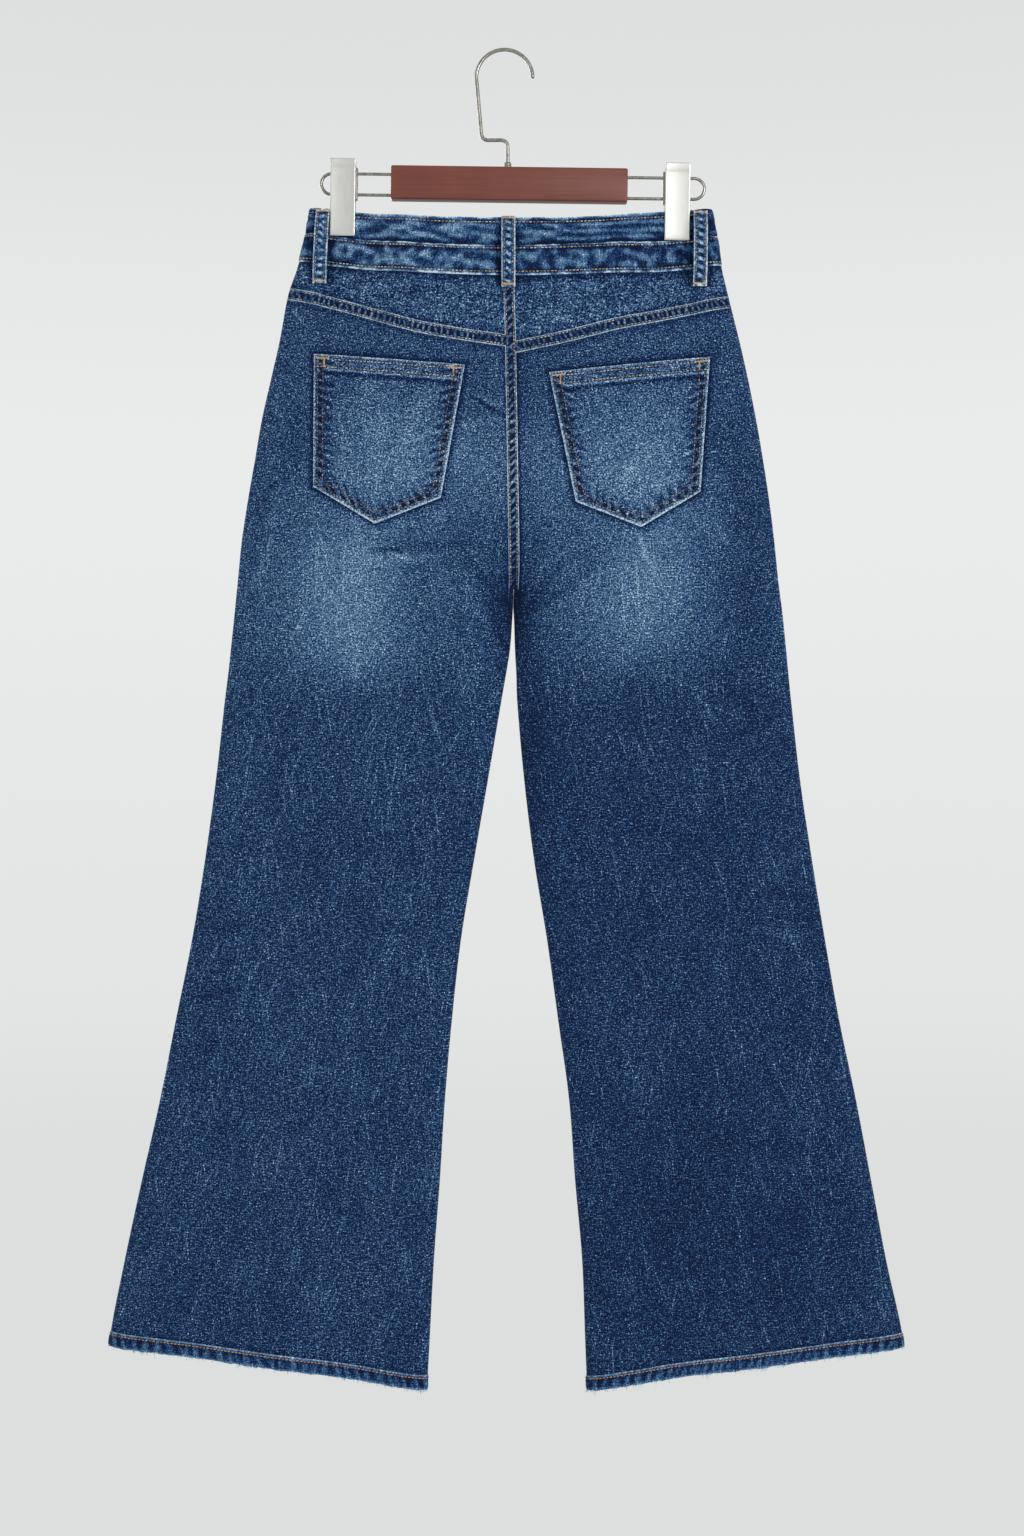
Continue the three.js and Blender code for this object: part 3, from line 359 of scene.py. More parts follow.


# Creases: x and z of the middle, the angle above level, half the length,
# half the width, and the height, which is below nought in a trough
CREASE_COLUMNS = "x z angle length width height"
CREASES = {
    "back": table(
        CREASE_COLUMNS,
        (-100, -441, -3, 14, 1.9, -1.4), (-92, -445.5, -16, 13, 1.8, 1), (-14, -315.5, -33, 15, 1.9, -1.3),
        (-15, -311.5, -30, 13, 1.8, 1), (121.5, -440, -66, 19, 1.7, 1), (-180, -235, -50, 10, 1.8, 0.9),
        (190, -426, -65, 15, 1.8, 0.9), (175, -576, -60, 19, 1.7, 0.9), (-62, -590, -72, 22, 1.7, 0.8),
        (-72, -437, -4, 46, 4.2, -0.9), (-60, -446, 6, 34, 3.6, 0.6), (-112, -449, -10, 30, 4, 0.5),
        (-36, -316, -14, 20, 3, -0.6), (-24, -331, 10, 18, 3, 0.5), (-20, -300, -24, 22, 3.5, -0.5),
        (38, -452, 30, 34, 4.4, 0.7), (58, -470, 38, 40, 4, -0.8), (30, -482, 52, 26, 3.6, -0.7),
        (-18, -468, -52, 30, 3.6, -0.8), (-36, -486, -42, 36, 4, 0.6), (-8, -505, -70, 26, 3.4, -0.7),
        (96, -458, 20, 40, 4.5, 0.5), (140, -446, -16, 42, 5, -0.6), (176, -420, -38, 44, 5, 0.6),
        (200, -380, -62, 50, 5.5, -0.7), (-196, -372, 66, 52, 5.5, -0.6), (-204, -430, 76, 48, 5, 0.6),
        (-180, -520, 58, 46, 5, -0.5), (-96, -566, 20, 44, 5, -0.4), (120, -560, -18, 46, 5, -0.4),
        (196, -560, -50, 50, 5.2, -0.6), (-238, -770, 12, 22, 3, -0.7), (-246, -800, 4, 20, 2.8, -0.6),
        (-250, -828, 10, 24, 3, -0.7), (-232, -846, -6, 22, 3, 0.5), (-262, -874, 8, 20, 2.8, -0.5),
        (252, -742, -8, 26, 3, -0.6), (268, -762, 4, 24, 2.8, -0.7), (240, -776, -14, 26, 3, 0.5),
        (286, -820, -6, 20, 2.8, -0.5), (-120, -700, 16, 50, 6, -0.5), (-150, -900, -12, 56, 6, 0.5),
        (-230, -1010, 10, 44, 5, -0.5), (150, -690, -14, 52, 6, -0.5), (130, -860, 10, 54, 6, 0.5),
        (220, -960, -10, 50, 6, -0.5), (180, -1080, 6, 50, 5, 0.4), (-160, -1090, -6, 54, 5, 0.5)),
    "front": table(
        CREASE_COLUMNS,
        (-52, -392, 24, 46, 4.5, -0.9), (-70, -420, 30, 52, 5, 0.7), (-44, -452, 40, 46, 4.2, -0.9),
        (-24, -478, 56, 34, 4, -0.8), (64, -388, -22, 48, 4.6, -0.8), (84, -418, -30, 54, 5, 0.7),
        (58, -456, -42, 46, 4.2, -0.9), (36, -480, -58, 34, 4, -0.8), (-150, -340, -34, 50, 5.5, -0.6),
        (164, -346, 34, 52, 5.5, -0.6), (-170, -520, 62, 56, 5.5, 0.6), (184, -520, -60, 56, 5.5, -0.6),
        (-120, -600, 14, 52, 6, -0.5), (130, -610, -14, 52, 6, -0.5), (-140, -720, -10, 60, 6, -0.7),
        (-150, -750, -6, 56, 5, 0.6), (150, -722, 8, 60, 6, -0.7), (160, -752, 12, 56, 5, 0.6),
        (-180, -880, 8, 54, 6, -0.5), (190, -890, -10, 56, 6, -0.5), (-220, -1010, 10, 50, 6, 0.5),
        (220, -1020, -8, 50, 6, -0.5), (-160, -1100, -6, 50, 5, -0.4), (170, -1096, 8, 50, 5, 0.4)),
}
CREASE_BEND = 0.0022
CRINKLE_HEIGHT = 0.34
CRINKLE_WAVES = (11, 34)
CRINKLE_STRETCH = 1.8
CRINKLES_BEGIN = (205, 260)
FIELD_WAVES = 20


def uneven(u, v, seed, shortest, longest, stretch=1.0, lean=0.0, turn=math.pi):
    """A smooth random field, about -1 to 1, with waves of these lengths in mm.

    Stretch lengthens the waves along u, and lean slants them, in mm of u for each mm of v.
    A small turn keeps the waves along u, as in a ladder.
    """
    draw = np.random.default_rng(seed)
    angle = draw.uniform(-turn, turn, FIELD_WAVES)
    frequency = 2 * math.pi / draw.uniform(shortest, longest, FIELD_WAVES)
    phase = draw.uniform(0, 2 * math.pi, FIELD_WAVES)
    total = 0
    for f, a, p in zip(frequency, angle, phase):
        total = total + np.sin(f * math.cos(a) / stretch * (u + lean * v) + f * math.sin(a) * v + p)
    return total / math.sqrt(FIELD_WAVES)


def crinkles(face, x, z):
    """Height of the small random crinkles, which begin below the waistband."""
    field = uneven(x, z, 11 + SIGN[face], *CRINKLE_WAVES, CRINKLE_STRETCH)
    return CRINKLE_HEIGHT * field * smooth(-z, *CRINKLES_BEGIN)


def creases(face, x, z, sharpness=0):
    """Height of the creases in mm, or with a sharpness of 1 their height for each mm of width."""
    height = 0
    for cx, cz, angle, length, width, rise in zip(*CREASES[face].values()):
        along = (x - cx) * math.cos(math.radians(angle)) + (z - cz) * math.sin(math.radians(angle))
        aside = (z - cz) * math.cos(math.radians(angle)) - (x - cx) * math.sin(math.radians(angle))
        bent = aside - CREASE_BEND * along**2
        height = height + rise / width**sharpness * np.exp(-(along / length)**2 - (bent / width)**2)
    return height


def relief(face, x, z):
    """Height of the creases and crinkles, in mm, outward from the cloth's large form."""
    return creases(face, x, z) + crinkles(face, x, z)


def place(side, face, s, z, out):
    """A point moved out from the middle of the cloth, in mm. Creases die out at the seams."""
    middle = cloth_middle(side, face, s, z)
    turn = smooth(SEAT_TURN - z, 0, SEAT_TURN - CROTCH)
    kept = smooth(s, 0, 0.03) * (1 - turn * (1 - smooth(1 - s, 0, 0.03)))
    lift = out + relief(face, middle[..., 0], middle[..., 2]) * kept
    return middle + cloth_outward(side, face, s, z) * np.asarray(lift)[..., None]


def across(side, x, z):
    """The share of a half's width at which a level reaches x."""
    outer, inner = leg_edges(side, z)
    return np.clip((x - outer) / (inner - outer), 0, 1)


def centre_line(z):
    """The x of the centre seam, and of the middle between the legs below it."""
    return sum(on_curve(LEVELS, "z", column, z) for column in ("left_in", "right_in")) / 2


def on_cloth(face, x, z, out):
    """A point on the cloth at x and z, moved out from its middle, in mm."""
    x, z, out = np.broadcast_arrays(np.asarray(x, float), np.asarray(z, float), np.asarray(out, float))
    points = np.empty(x.shape + (3,))
    for side in ("left", "right"):
        here = (x < centre_line(z)) == (side == "left")
        points[here] = place(side, face, across(side, x[here], z[here]), z[here], out[here])
    return points


def waist_line(line, face, x):
    """The height of one of the waistband's three lines, which dip at the centre front."""
    height = on_curve(WAIST_LINES, "x", line, x)
    if face == "back":
        return height
    away = (x - CENTRE) / LEVELS["right_out"][0]
    return height - FRONT_DROP * np.maximum(1 - away**2, 0)**2


def scoop_line(side, x):
    """The curved mouth of a front pocket."""
    outer = on_curve(LEVELS, "z", side + "_out", WAIST_LINES["bottom"][0])
    inward = np.abs(x - outer) / SCOOP_WIDTH
    return waist_line("bottom", "front", x) - SCOOP_DEPTH * np.maximum(1 - inward**SCOOP_CURVE, 0)


def yoke_seam(side, x):
    """The height of the seam between yoke and leg."""
    return on_curve(YOKE_SEAM[side], "x", "seam", x)


def front_top(side, x):
    """The top edge of a front leg: the waist seam, or the pocket's mouth where that is lower."""
    return np.minimum(waist_line("bottom", "front", x), scoop_line(side, x))


def meet_line(side, face, s, line, first_guess=-220.0, rounds=6):
    """The height at which a column of the cloth meets a line given by its x."""
    z = np.full(np.shape(s), first_guess)
    for _ in range(rounds):
        z = line(cloth_middle(side, face, s, z)[..., 0])
    return z


# The back pockets by their corners, in mm, because painted shadow darkens the legs round them:
# a thin line at the pocket's edge, and a weaker and broader one
POCKET_ORDER = ["top_out", "top_in", "foot_in", "tip", "foot_out"]
POCKETS = {
    "left": dict(zip(POCKET_ORDER, [
        (-166.2, -268.8), (-34.5, -279.5), (-55.3, -395), (-113.1, -417.5), (-166.8, -385)])),
    "right": dict(zip(POCKET_ORDER, [
        (179.4, -271.3), (38.9, -286.1), (62.2, -398.6), (119.3, -420.4), (170.9, -389.3)])),
}
POCKET_LINE = 2.3
POCKET_HALO = 5
POCKET_HALO_SHARE = 0.4


def pocket_edges(corners):
    """Each edge's inward direction and its offset, from the top edge round."""
    points = np.array([corners[c] for c in POCKET_ORDER], float)
    centre = points.mean(axis=0)
    edges = []
    for a, b in zip(points, np.roll(points, -1, axis=0)):
        inward = np.array([a[1] - b[1], b[0] - a[0]]) / np.linalg.norm(b - a)
        inward = inward if inward @ (centre - a) > 0 else -inward
        edges.append((inward, inward @ a))
    return edges


def beside_pocket(side, x, z):
    """How near a place on the back is to its pocket's edge, from outside."""
    inside = np.min([x * n[0] + z * n[1] - c for n, c in pocket_edges(POCKETS[side])], axis=0)
    away = np.minimum(inside, 0)
    return np.exp(-(away / POCKET_LINE)**2) + POCKET_HALO_SHARE * np.exp(-(away / POCKET_HALO)**2)


# Washed fades: how light the dye is, from 0 for raw navy to 1 for white. A level for the
# seat and one for the leg, and soft patches, some ending at the thigh
FADE_LEVELS = {"left": (0.277, 0.193), "right": (0.265, 0.142)}
LEG_LEVEL_FROM = (500, 600)
THIGH_END = (528, 582)
THIGH_END_WAVE = 9
FADE_COLUMNS = "x z wide tall change ends"
FADE_AND_SHADE_PATCHES = {
    "back": table(
        FADE_COLUMNS,
        (-140, -478, 56, 66, 0.258, 1), (-128, -540, 64, 34, 0.09, 1), (-118, -420, 46, 44, 0.08, 1),
        (-98, -352, 52, 54, 0.16, 0), (-20, -362, 60, 42, 0.12, 0), (60, -372, 44, 52, 0.09, 0),
        (122, -362, 50, 54, 0.16, 0), (126, -468, 46, 66, 0.264, 1), (112, -530, 50, 30, 0.07, 1),
        (3.5, -207, 15, 12, -0.12, 0), (-200, -1090, 70, 60, -0.012, 0),
        # These three patches near x 7 below the crotch are painted shade where the legs meet
        (7, -485, 18, 34, -0.2, 0), (7.4, -508, 6, 26, -0.16, 0), (4, -530, 16, 40, -0.08, 0),
        (27, -590, 16, 90, -0.085, 0), (58, -500, 28, 50, 0.075, 0), (-205, -330, 26, 80, 0.02, 0),
        (218, -470, 28, 110, -0.07, 0), (-232, -640, 26, 130, 0.03, 0), (-130, -600, 100, 60, 0.028, 0),
        (150, -600, 90, 60, 0.018, 0), (190, -1010, 70, 110, -0.03, 0), (240, -1060, 50, 60, -0.04, 0),
        (130, -1030, 40, 60, -0.03, 0), (-36, -245, 70, 22, 0.02, 0), (80, -232, 46, 20, 0.05, 0),
        (-150, -245, 40, 20, -0.02, 0)),
    "front": table(
        FADE_COLUMNS,
        (-130, -400, 54, 90, 0.14, 0), (140, -400, 54, 90, 0.14, 0), (-136, -500, 58, 70, 0.17, 1),
        (146, -500, 58, 70, 0.17, 1), (7, -470, 24, 40, -0.16, 0), (-60, -600, 40, 50, -0.05, 0),
        (76, -600, 40, 50, -0.05, 0), (-150, -735, 56, 44, 0.05, 0), (156, -735, 56, 44, 0.05, 0),
        (-200, -330, 24, 70, -0.04, 0), (216, -330, 24, 70, -0.04, 0)),
}


def dye_fade_and_shade(side, face, x, z):
    """The washed fade of the plain cloth at a place, with painted shade at the back crotch."""
    upper, lower = FADE_LEVELS[side]
    fade = upper + (lower - upper) * smooth(-z, *LEG_LEVEL_FROM)
    edge = uneven(x, z, 5, 40, 130) * THIGH_END_WAVE
    ending = 1 - smooth(-z + edge, *THIGH_END)
    for cx, cz, wide, tall, change, ends in zip(*FADE_AND_SHADE_PATCHES[face].values()):
        patch_share = np.exp(-((x - cx) / wide)**2 - ((z - cz) / tall)**2)
        fade = fade + change * patch_share * (ending if ends else 1)
    return fade


def grain_of(side, face, x, z):
    """Cloth coordinates in mm: across the warp, along the warp, and one layer for each panel."""
    outer, inner = leg_edges(side, np.minimum(z, -250))
    layer = 400 * (SIGN[side] + 1) + 900 * (SIGN[face] + 1)
    return np.stack(np.broadcast_arrays(x - (outer + inner) / 2 + layer, z, float(layer)), axis=-1)


def finish_mesh(name, points, faces, sharp_degrees=50, **attributes):
    """An object from points in mm and faces, turned to face outward, with point attributes."""
    mesh = bpy.data.meshes.new(name)
    mesh.from_pydata((np.asarray(points) * MM).tolist(), [], faces)
    mesh.update()
    mesh.calc_loop_triangles()
    corners = np.array([t.vertices for t in mesh.loop_triangles])
    a, b, c = (np.asarray(points)[corners[:, i]] for i in range(3))
    if np.einsum("ij,ij->i", a, np.cross(b, c)).sum() < 0:
        mesh.flip_normals()
    for label, values in attributes.items():
        values = np.asarray(values, float)
        if values.ndim == 2:
            mesh.attributes.new(label, "FLOAT_VECTOR", "POINT").data.foreach_set("vector", values.ravel())
        else:
            mesh.attributes.new(label, "FLOAT", "POINT").data.foreach_set("value", values)
    mesh.shade_smooth()
    mesh.set_sharp_from_angle(angle=math.radians(sharp_degrees))
    made = bpy.data.objects.new(name, mesh)
    scene.collection.objects.link(made)
    return made


def grid_faces(columns, rows, ring=False):
    """The faces of a wall over a grid: outer layer, inner layer, and the rims between."""
    index = np.arange(columns * rows).reshape(columns, rows)
    if ring:
        index = np.vstack([index, index[:1]])
    under = index + columns * rows
    outer = np.stack([index[:-1, :-1], index[1:, :-1], index[1:, 1:], index[:-1, 1:]], axis=-1)
    inner = np.stack([under[:-1, :-1], under[:-1, 1:], under[1:, 1:], under[1:, :-1]], axis=-1)
    rims = [np.stack([index[:-1, 0], under[:-1, 0], under[1:, 0], index[1:, 0]], axis=-1),
            np.stack([index[:-1, -1], index[1:, -1], under[1:, -1], under[:-1, -1]], axis=-1)]
    if not ring:
        rims.append(np.stack([index[0, :-1], index[0, 1:], under[0, 1:], under[0, :-1]], axis=-1))
        rims.append(np.stack([index[-1, :-1], under[-1, :-1], under[-1, 1:], index[-1, 1:]], axis=-1))
    return np.vstack([outer.reshape(-1, 4), inner.reshape(-1, 4), *rims]).tolist()


def sew_cloth(name, node, outer, inner, fade, grain, ring=False, material=None):
    """A thin closed cloth over a grid, standing for a CAD node."""
    columns, rows = outer.shape[:2]
    points = np.concatenate([outer.reshape(-1, 3), inner.reshape(-1, 3)])
    count = columns * rows
    piece = finish_mesh(
        name, points, grid_faces(columns, rows, ring),
        fade=np.concatenate([np.broadcast_to(fade, (columns, rows)).ravel()] * 2),
        reverse=np.concatenate([np.zeros(count), np.ones(count)]),
        grain=np.concatenate([grain.reshape(-1, 3)] * 2))
    piece.data.materials.append(material or washed_denim)
    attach(piece, "root")
    if node:
        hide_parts(node)


# Washed stretch denim: indigo warp over a white weft, garment washed, so the dye is pale
# on worn ridges and dark in hollows; the fade that it reads also holds painted shade in
# creases, grooves and beside seams and pockets. The real thread spacing of 0.5 mm is too fine to
# show, so slubs and cracks of 1 to 3 mm are drawn. Matt, with a faint fibre sheen.
DYE = [
    (0.05, "#000c2b"), (0.14, "#001b42"), (0.24, "#0c2c55"), (0.29, "#12345e"), (0.33, "#183d69"),
    (0.41, "#284b76"), (0.46, "#315379"), (0.57, "#486786"), (0.73, "#6b88a5"), (0.86, "#8ba8c1"),
    (1.0, "#c3d5e1"),
]


def denim_material(name, contrast):
    """Washed denim. The contrast is that of the slubs and cracks against the plain fade."""
    material, tree, shader = new_material(name, Roughness=0.92, Sheen_Weight=0.1, Sheen_Roughness=0.5)
    shader.inputs["Specular IOR Level"].default_value = 0.16
    shader.inputs["Sheen Tint"].default_value = linear("#a9bdd4")
    grain = add_node(tree, "ShaderNodeAttribute", attribute_name="grain")
    fade = add_node(tree, "ShaderNodeAttribute", attribute_name="fade")
    reverse = add_node(tree, "ShaderNodeAttribute", attribute_name="reverse")

    def slubs(across_mm, along_mm, detail, roughness=0.6, distortion=0.0, lean=0.0):
        """Noise in patches of a size across and along the warp."""
        turned = add_node(tree, "ShaderNodeMapping", {"Rotation": (0, 0, lean)},
                          {"Vector": grain.outputs["Vector"]})
        scaled = add_node(tree, "ShaderNodeMapping", {"Scale": (1 / across_mm, 1 / along_mm, 0.01)},
                          {"Vector": turned.outputs["Vector"]})
        settings = {"Scale": 1.0, "Detail": detail, "Roughness": roughness, "Distortion": distortion}
        return add_node(tree, "ShaderNodeTexNoise", settings, {"Vector": scaled.outputs["Vector"]})

    def weigh(noise, amount, total=None):
        """A noise centred on nought and weighed, added to a total."""
        centred = add_node(tree, "ShaderNodeMath", {1: -0.5}, {0: noise.outputs["Fac"]}, operation="ADD")
        links = {0: centred.outputs[0]}
        if total is not None:
            links[2] = total.outputs[0]
        return add_node(tree, "ShaderNodeMath", {1: amount, 2: 0.0}, links, operation="MULTIPLY_ADD")

    def veins(noise, amount):
        """Pale worn lines where a noise crosses its middle."""
        centred = add_node(tree, "ShaderNodeMath", {1: -0.5}, {0: noise.outputs["Fac"]}, operation="ADD")
        away = add_node(tree, "ShaderNodeMath", links={0: centred.outputs[0]}, operation="ABSOLUTE")
        return add_node(tree, "ShaderNodeMapRange", {"From Min": 0.0, "From Max": 0.085, "To Min": amount,
                                                     "To Max": -0.5 * amount}, {"Value": away.outputs[0]})

    # Sizes in mm across and along the warp, then the detail, roughness and distortion
    speckle = slubs(1.3, 1.3, 1.0, 0.7)
    warp = slubs(1.2, 7, 1.0, 0.6, 0.3)
    weft = slubs(5, 1.2, 1.0, 0.6, 0.5)
    cracks = slubs(4.6, 3.4, 1.0, 0.5, 1.3)
    streaks = [slubs(1.9, 85, 0.0), slubs(1.7, 58, 0.0, lean=0.34), slubs(1.7, 64, 0.0, lean=-0.28)]
    mottle = slubs(14, 46, 2.0)
    cloud = slubs(48, 150, 2.0)
    level = add_node(tree, "ShaderNodeSeparateXYZ", links={"Vector": grain.outputs["Vector"]})

    def by_level(seat, leg):
        """A value for the seat and yokes, another for the legs, and a smooth change between."""
        return add_node(tree, "ShaderNodeMapRange", {"From Min": -400.0, "From Max": -580.0, "To Min": seat,
                                                     "To Max": leg}, {"Value": level.outputs["Y"]})

    def join(one, two, operation):
        """Two values joined by an operation."""
        return add_node(tree, "ShaderNodeMath", links={0: one.outputs[0], 1: two.outputs[0]},
                        operation=operation)

    bumps = weigh(cracks, 0.7, weigh(weft, 0.5, weigh(warp, 0.5, weigh(speckle, 0.5))))
    palest = streaks[0]
    for streak in streaks[1:]:
        palest = join(palest, streak, "MAXIMUM")
    found = add_node(tree, "ShaderNodeMapRange", {"From Min": 0.7, "From Max": 0.78},
                     {"Value": palest.outputs[0]})
    pale_streak = join(found, by_level(0.12, 0.2), "MULTIPLY")
    woven = join(weigh(weft, 0.95, weigh(warp, 0.55)), by_level(0.75, 0.9), "MULTIPLY")
    crackled = join(veins(cracks, 0.13), by_level(1.0, 0.12), "MULTIPLY")
    fine = join(weigh(speckle, 2.2, woven), crackled, "ADD")
    total = weigh(cloud, 0.14, weigh(mottle, 0.1, fine))
    by_fade = add_node(
        tree, "ShaderNodeMapRange",
        {"From Min": 0.25, "From Max": 0.65, "To Min": 1.07 * contrast, "To Max": 0.8 * contrast},
        {"Value": fade.outputs["Fac"]})
    scaled = add_node(tree, "ShaderNodeMath", links={0: total.outputs[0], 1: by_fade.outputs[0],
                                                     2: fade.outputs["Fac"]}, operation="MULTIPLY_ADD")
    light = join(scaled, pale_streak, "ADD")
    dye = add_node(tree, "ShaderNodeValToRGB", links={"Fac": light.outputs[0]})
    for element, (position, colour) in zip(dye.color_ramp.elements, (DYE[0], DYE[-1])):
        element.position = position
        element.color = linear(colour)
    for position, colour in DYE[1:-1]:
        dye.color_ramp.elements.new(position).color = linear(colour)
    back_cloth = add_node(tree, "ShaderNodeValToRGB", links={"Fac": speckle.outputs["Fac"]})
    back_cloth.color_ramp.elements[0].color = linear("#5f7086")
    back_cloth.color_ramp.elements[1].color = linear("#aab4c0")
    both = add_node(tree, "ShaderNodeMix", links={0: reverse.outputs["Fac"], 6: dye.outputs["Color"],
                                                  7: back_cloth.outputs["Color"]}, data_type="RGBA")
    tree.links.new(both.outputs[2], shader.inputs["Base Color"])
    bump = add_node(tree, "ShaderNodeBump", {"Strength": 0.55, "Distance": 0.0009},
                    {"Height": bumps.outputs[0]})
    tree.links.new(bump.outputs["Normal"], shader.inputs["Normal"])
    return material


washed_denim = denim_material("washed_stretch_denim", 1.0)
seamed_denim = denim_material("washed_denim_at_seams", 0.62)

LEG_COLUMNS = {"back": 124, "front": 84}
LEG_ROWS = {"back": 330, "front": 210}
OUTSEAM_WEAR = 0.24
OUTSEAM_WEAR_SHARE = 0.0026
HEM_SHADOW = 0.14
SEAM_SHADOW = 0.16
SEAM_SHADOW_AT = 6.6
SHADOW_WIDTH = 3
POCKET_SHADE = 0.34
# Painted shade on the cloth beside the centre back seam's ridge: a narrow line, and a broad weak darkening
CENTRE_SHADE = {"left": 0.12, "right": 0.34}
CENTRE_SHADE_AT = 5.4
CENTRE_SHADE_WIDTH = 1.6
CENTRE_BROAD_SHADE = {"left": 0.01, "right": 0.05}
CENTRE_BROAD_SHADE_WIDTH = 14
# How far crease and crinkle heights change the fade: ridges paler with wear, troughs darker with painted
# shade
CREASE_WEAR_AND_SHADE = 0.54
CRINKLE_WEAR_AND_SHADE = 0.03


def worn_edge(s):
    """The pale line where the cloth turns over at an outseam."""
    return OUTSEAM_WEAR * np.exp(-(s / OUTSEAM_WEAR_SHARE)**2)


def leg_panel(side, face, top_line):
    """One leg's back or front, from its top line to the hem."""
    s = (1 - np.cos(np.linspace(0, math.pi, LEG_COLUMNS[face]))) / 2
    top = meet_line(side, face, s, top_line) - SEAM_GAP / 2
    foot = on_curve(HEM_EDGE, "across", side, s) + HEM_HEIGHT + SEAM_GAP / 2
    z = top[:, None] + (foot - top)[:, None] * np.linspace(0, 1, LEG_ROWS[face])
    s = np.broadcast_to(s[:, None], z.shape)
    x = cloth_middle(side, face, s, z)[..., 0]
    fade = dye_fade_and_shade(side, face, x, z) + worn_edge(s)
    # Wear on the crease and crinkle ridges, and painted shade in their troughs
    fade = fade + CREASE_WEAR_AND_SHADE * creases(face, x, z, 1) + CRINKLE_WEAR_AND_SHADE * crinkles(face, x, z)
    fade = fade - HEM_SHADOW * np.exp(-((z - foot[:, None]) / SHADOW_WIDTH)**2)
    if face == "back":
        # Painted shadow on the leg round the back pocket
        fade = fade - POCKET_SHADE * beside_pocket(side, x, z)
        fade = fade - SEAM_SHADOW * np.exp(-((top[:, None] - z - SEAM_SHADOW_AT) / SHADOW_WIDTH)**2)
        # Painted shade beside the centre seam's ridge, narrow and broad
        from_centre = np.abs(x - centre_line(z)) - CENTRE_SHADE_AT
        shade = CENTRE_SHADE[side] * np.exp(-(from_centre / CENTRE_SHADE_WIDTH)**2)
        shade = shade + CENTRE_BROAD_SHADE[side] * np.exp(-(from_centre / CENTRE_BROAD_SHADE_WIDTH)**2)
        fade = fade - shade * smooth(z, CROTCH - 4, CROTCH)
    sew_cloth(f"{face}_leg_{side}", f"{face}_panel_{side}", place(side, face, s, z, CLOTH / 2),
              place(side, face, s, z, -CLOTH / 2), fade, grain_of(side, face, x, z))


for side in ("left", "right"):
    leg_panel(side, "back", partial(yoke_seam, side))
    leg_panel(side, "front", partial(front_top, side))


# Yokes and pocket facings: smaller pieces of the same denim. The yokes join the legs to
# the waistband at the back, and the facings show inside the front pocket mouths.
YOKE_COLUMNS = 120
YOKE_ROWS = 34
FACING_DROP = 16
FACING_SHARE = 0.56
FACING_OUT = -1.9
PATCH_GRAIN = (150, 60, 30)
BAND_SHADOW = 0.34
BAND_SHADOW_WIDTH = 4.2
LOOP_SHADOW = 0.24
LOOP_SHADOW_WIDTH = 4.4
LOOP_WIDTH = 12
LOOPS = {
    "back_left": ("back", -159.2, -161.9, -140.4, -206.5),
    "back_centre": ("back", 3.5, 3.5, -148.9, -211),
    "back_right": ("back", 171.9, 171, -141.9, -208.9),
    "front_left": ("front", -92, -93, -149, -217),
    "front_right": ("front", 100, 101, -149, -217),
}


def beside_loops(face, x, z):
    """How near a place is to a belt loop: painted shadow beside it, where the loop also keeps the cloth from
    wear.
    """
    near = 0
    for loop_face, top_x, foot_x, top_z, foot_z in LOOPS.values():
        if loop_face == face:
            middle = top_x + (foot_x - top_x) * (top_z - z) / (top_z - foot_z)
            away = np.maximum(np.abs(x - middle) - LOOP_WIDTH / 2, 0)
            near = near + np.exp(-(away / LOOP_SHADOW_WIDTH)**2) * smooth(z, foot_z - 6, foot_z + 4)
    return near


def patch(name, node, side, face, shares, top_line, foot_line, out, lighter):
    """A small panel between two lines, out from the middle of the leg's cloth."""
    top = meet_line(side, face, shares, top_line) - SEAM_GAP / 2
    foot = meet_line(side, face, shares, foot_line) + SEAM_GAP / 2
    z = top[:, None] + (foot - top)[:, None] * np.linspace(0, 1, YOKE_ROWS)
    s = np.broadcast_to(shares[:, None], z.shape)
    x = cloth_middle(side, face, s, z)[..., 0]
    fade = dye_fade_and_shade(side, face, x, z) + lighter + worn_edge(s)
    fade = fade - BAND_SHADOW * np.exp(-((z - top[:, None]) / BAND_SHADOW_WIDTH)**2)
    fade = fade - LOOP_SHADOW * beside_loops(face, x, z)
    if face == "back":
        fade = fade - SEAM_SHADOW * np.exp(-((z - foot[:, None] - SEAM_SHADOW_AT) / 2)**2)
    fade = fade + 0.045 * uneven(x, z, 14 + SIGN[side], 9, 30, stretch=1.5, lean=0.6)
    sew_cloth(name, node, place(side, face, s, z, out + CLOTH / 2), place(side, face, s, z, out - CLOTH / 2),
              fade, grain_of(side, face, x, z) + PATCH_GRAIN)


def facing_foot(side, x):
    """The lower edge of a pocket facing, hidden behind the front leg."""
    return scoop_line(side, x) - FACING_DROP


half_shares = 1 - np.cos(np.linspace(0, math.pi / 2, YOKE_COLUMNS))
facing_shares = half_shares[half_shares < FACING_SHARE]
for side in ("left", "right"):
    patch(f"back_yoke_{side}", f"yoke_{side}", side, "back", half_shares,
          partial(waist_line, "bottom", "back"), partial(yoke_seam, side), out=0, lighter=0.025)
    patch(f"pocket_facing_{side}", f"front_pocket_facing_{side}", side, "front", facing_shares,
          partial(waist_line, "bottom", "front"), partial(facing_foot, side), out=FACING_OUT,
          lighter=-0.05)


# Waistband: two strips, one above the other, each folded and topstitched. They lap at the
# centre front, wearer's left over right. Wear shows on the edges and on every pucker.
UPPER_BAND = 2.6
LOWER_BAND = 3.2
BAND_QUARTER = 128
BAND_ROWS = 21
LAP_OUTER = 14
LAP_UNDER = 12
LAP_BEND = (62, 26)
STITCH_PITCH = 3.2
STITCH_SHARE = 0.8
THREAD_WIDTH = 0.85
THREAD_HEIGHT = 0.6
THREAD_SIDES = 5
BAND_SPAN = 25
BAND_FADE = 0.44
BAND_DARKER = 0.08
BAND_LOOP_SHADOW = 0.3

sewn = {}
thread_draw = np.random.default_rng(3)


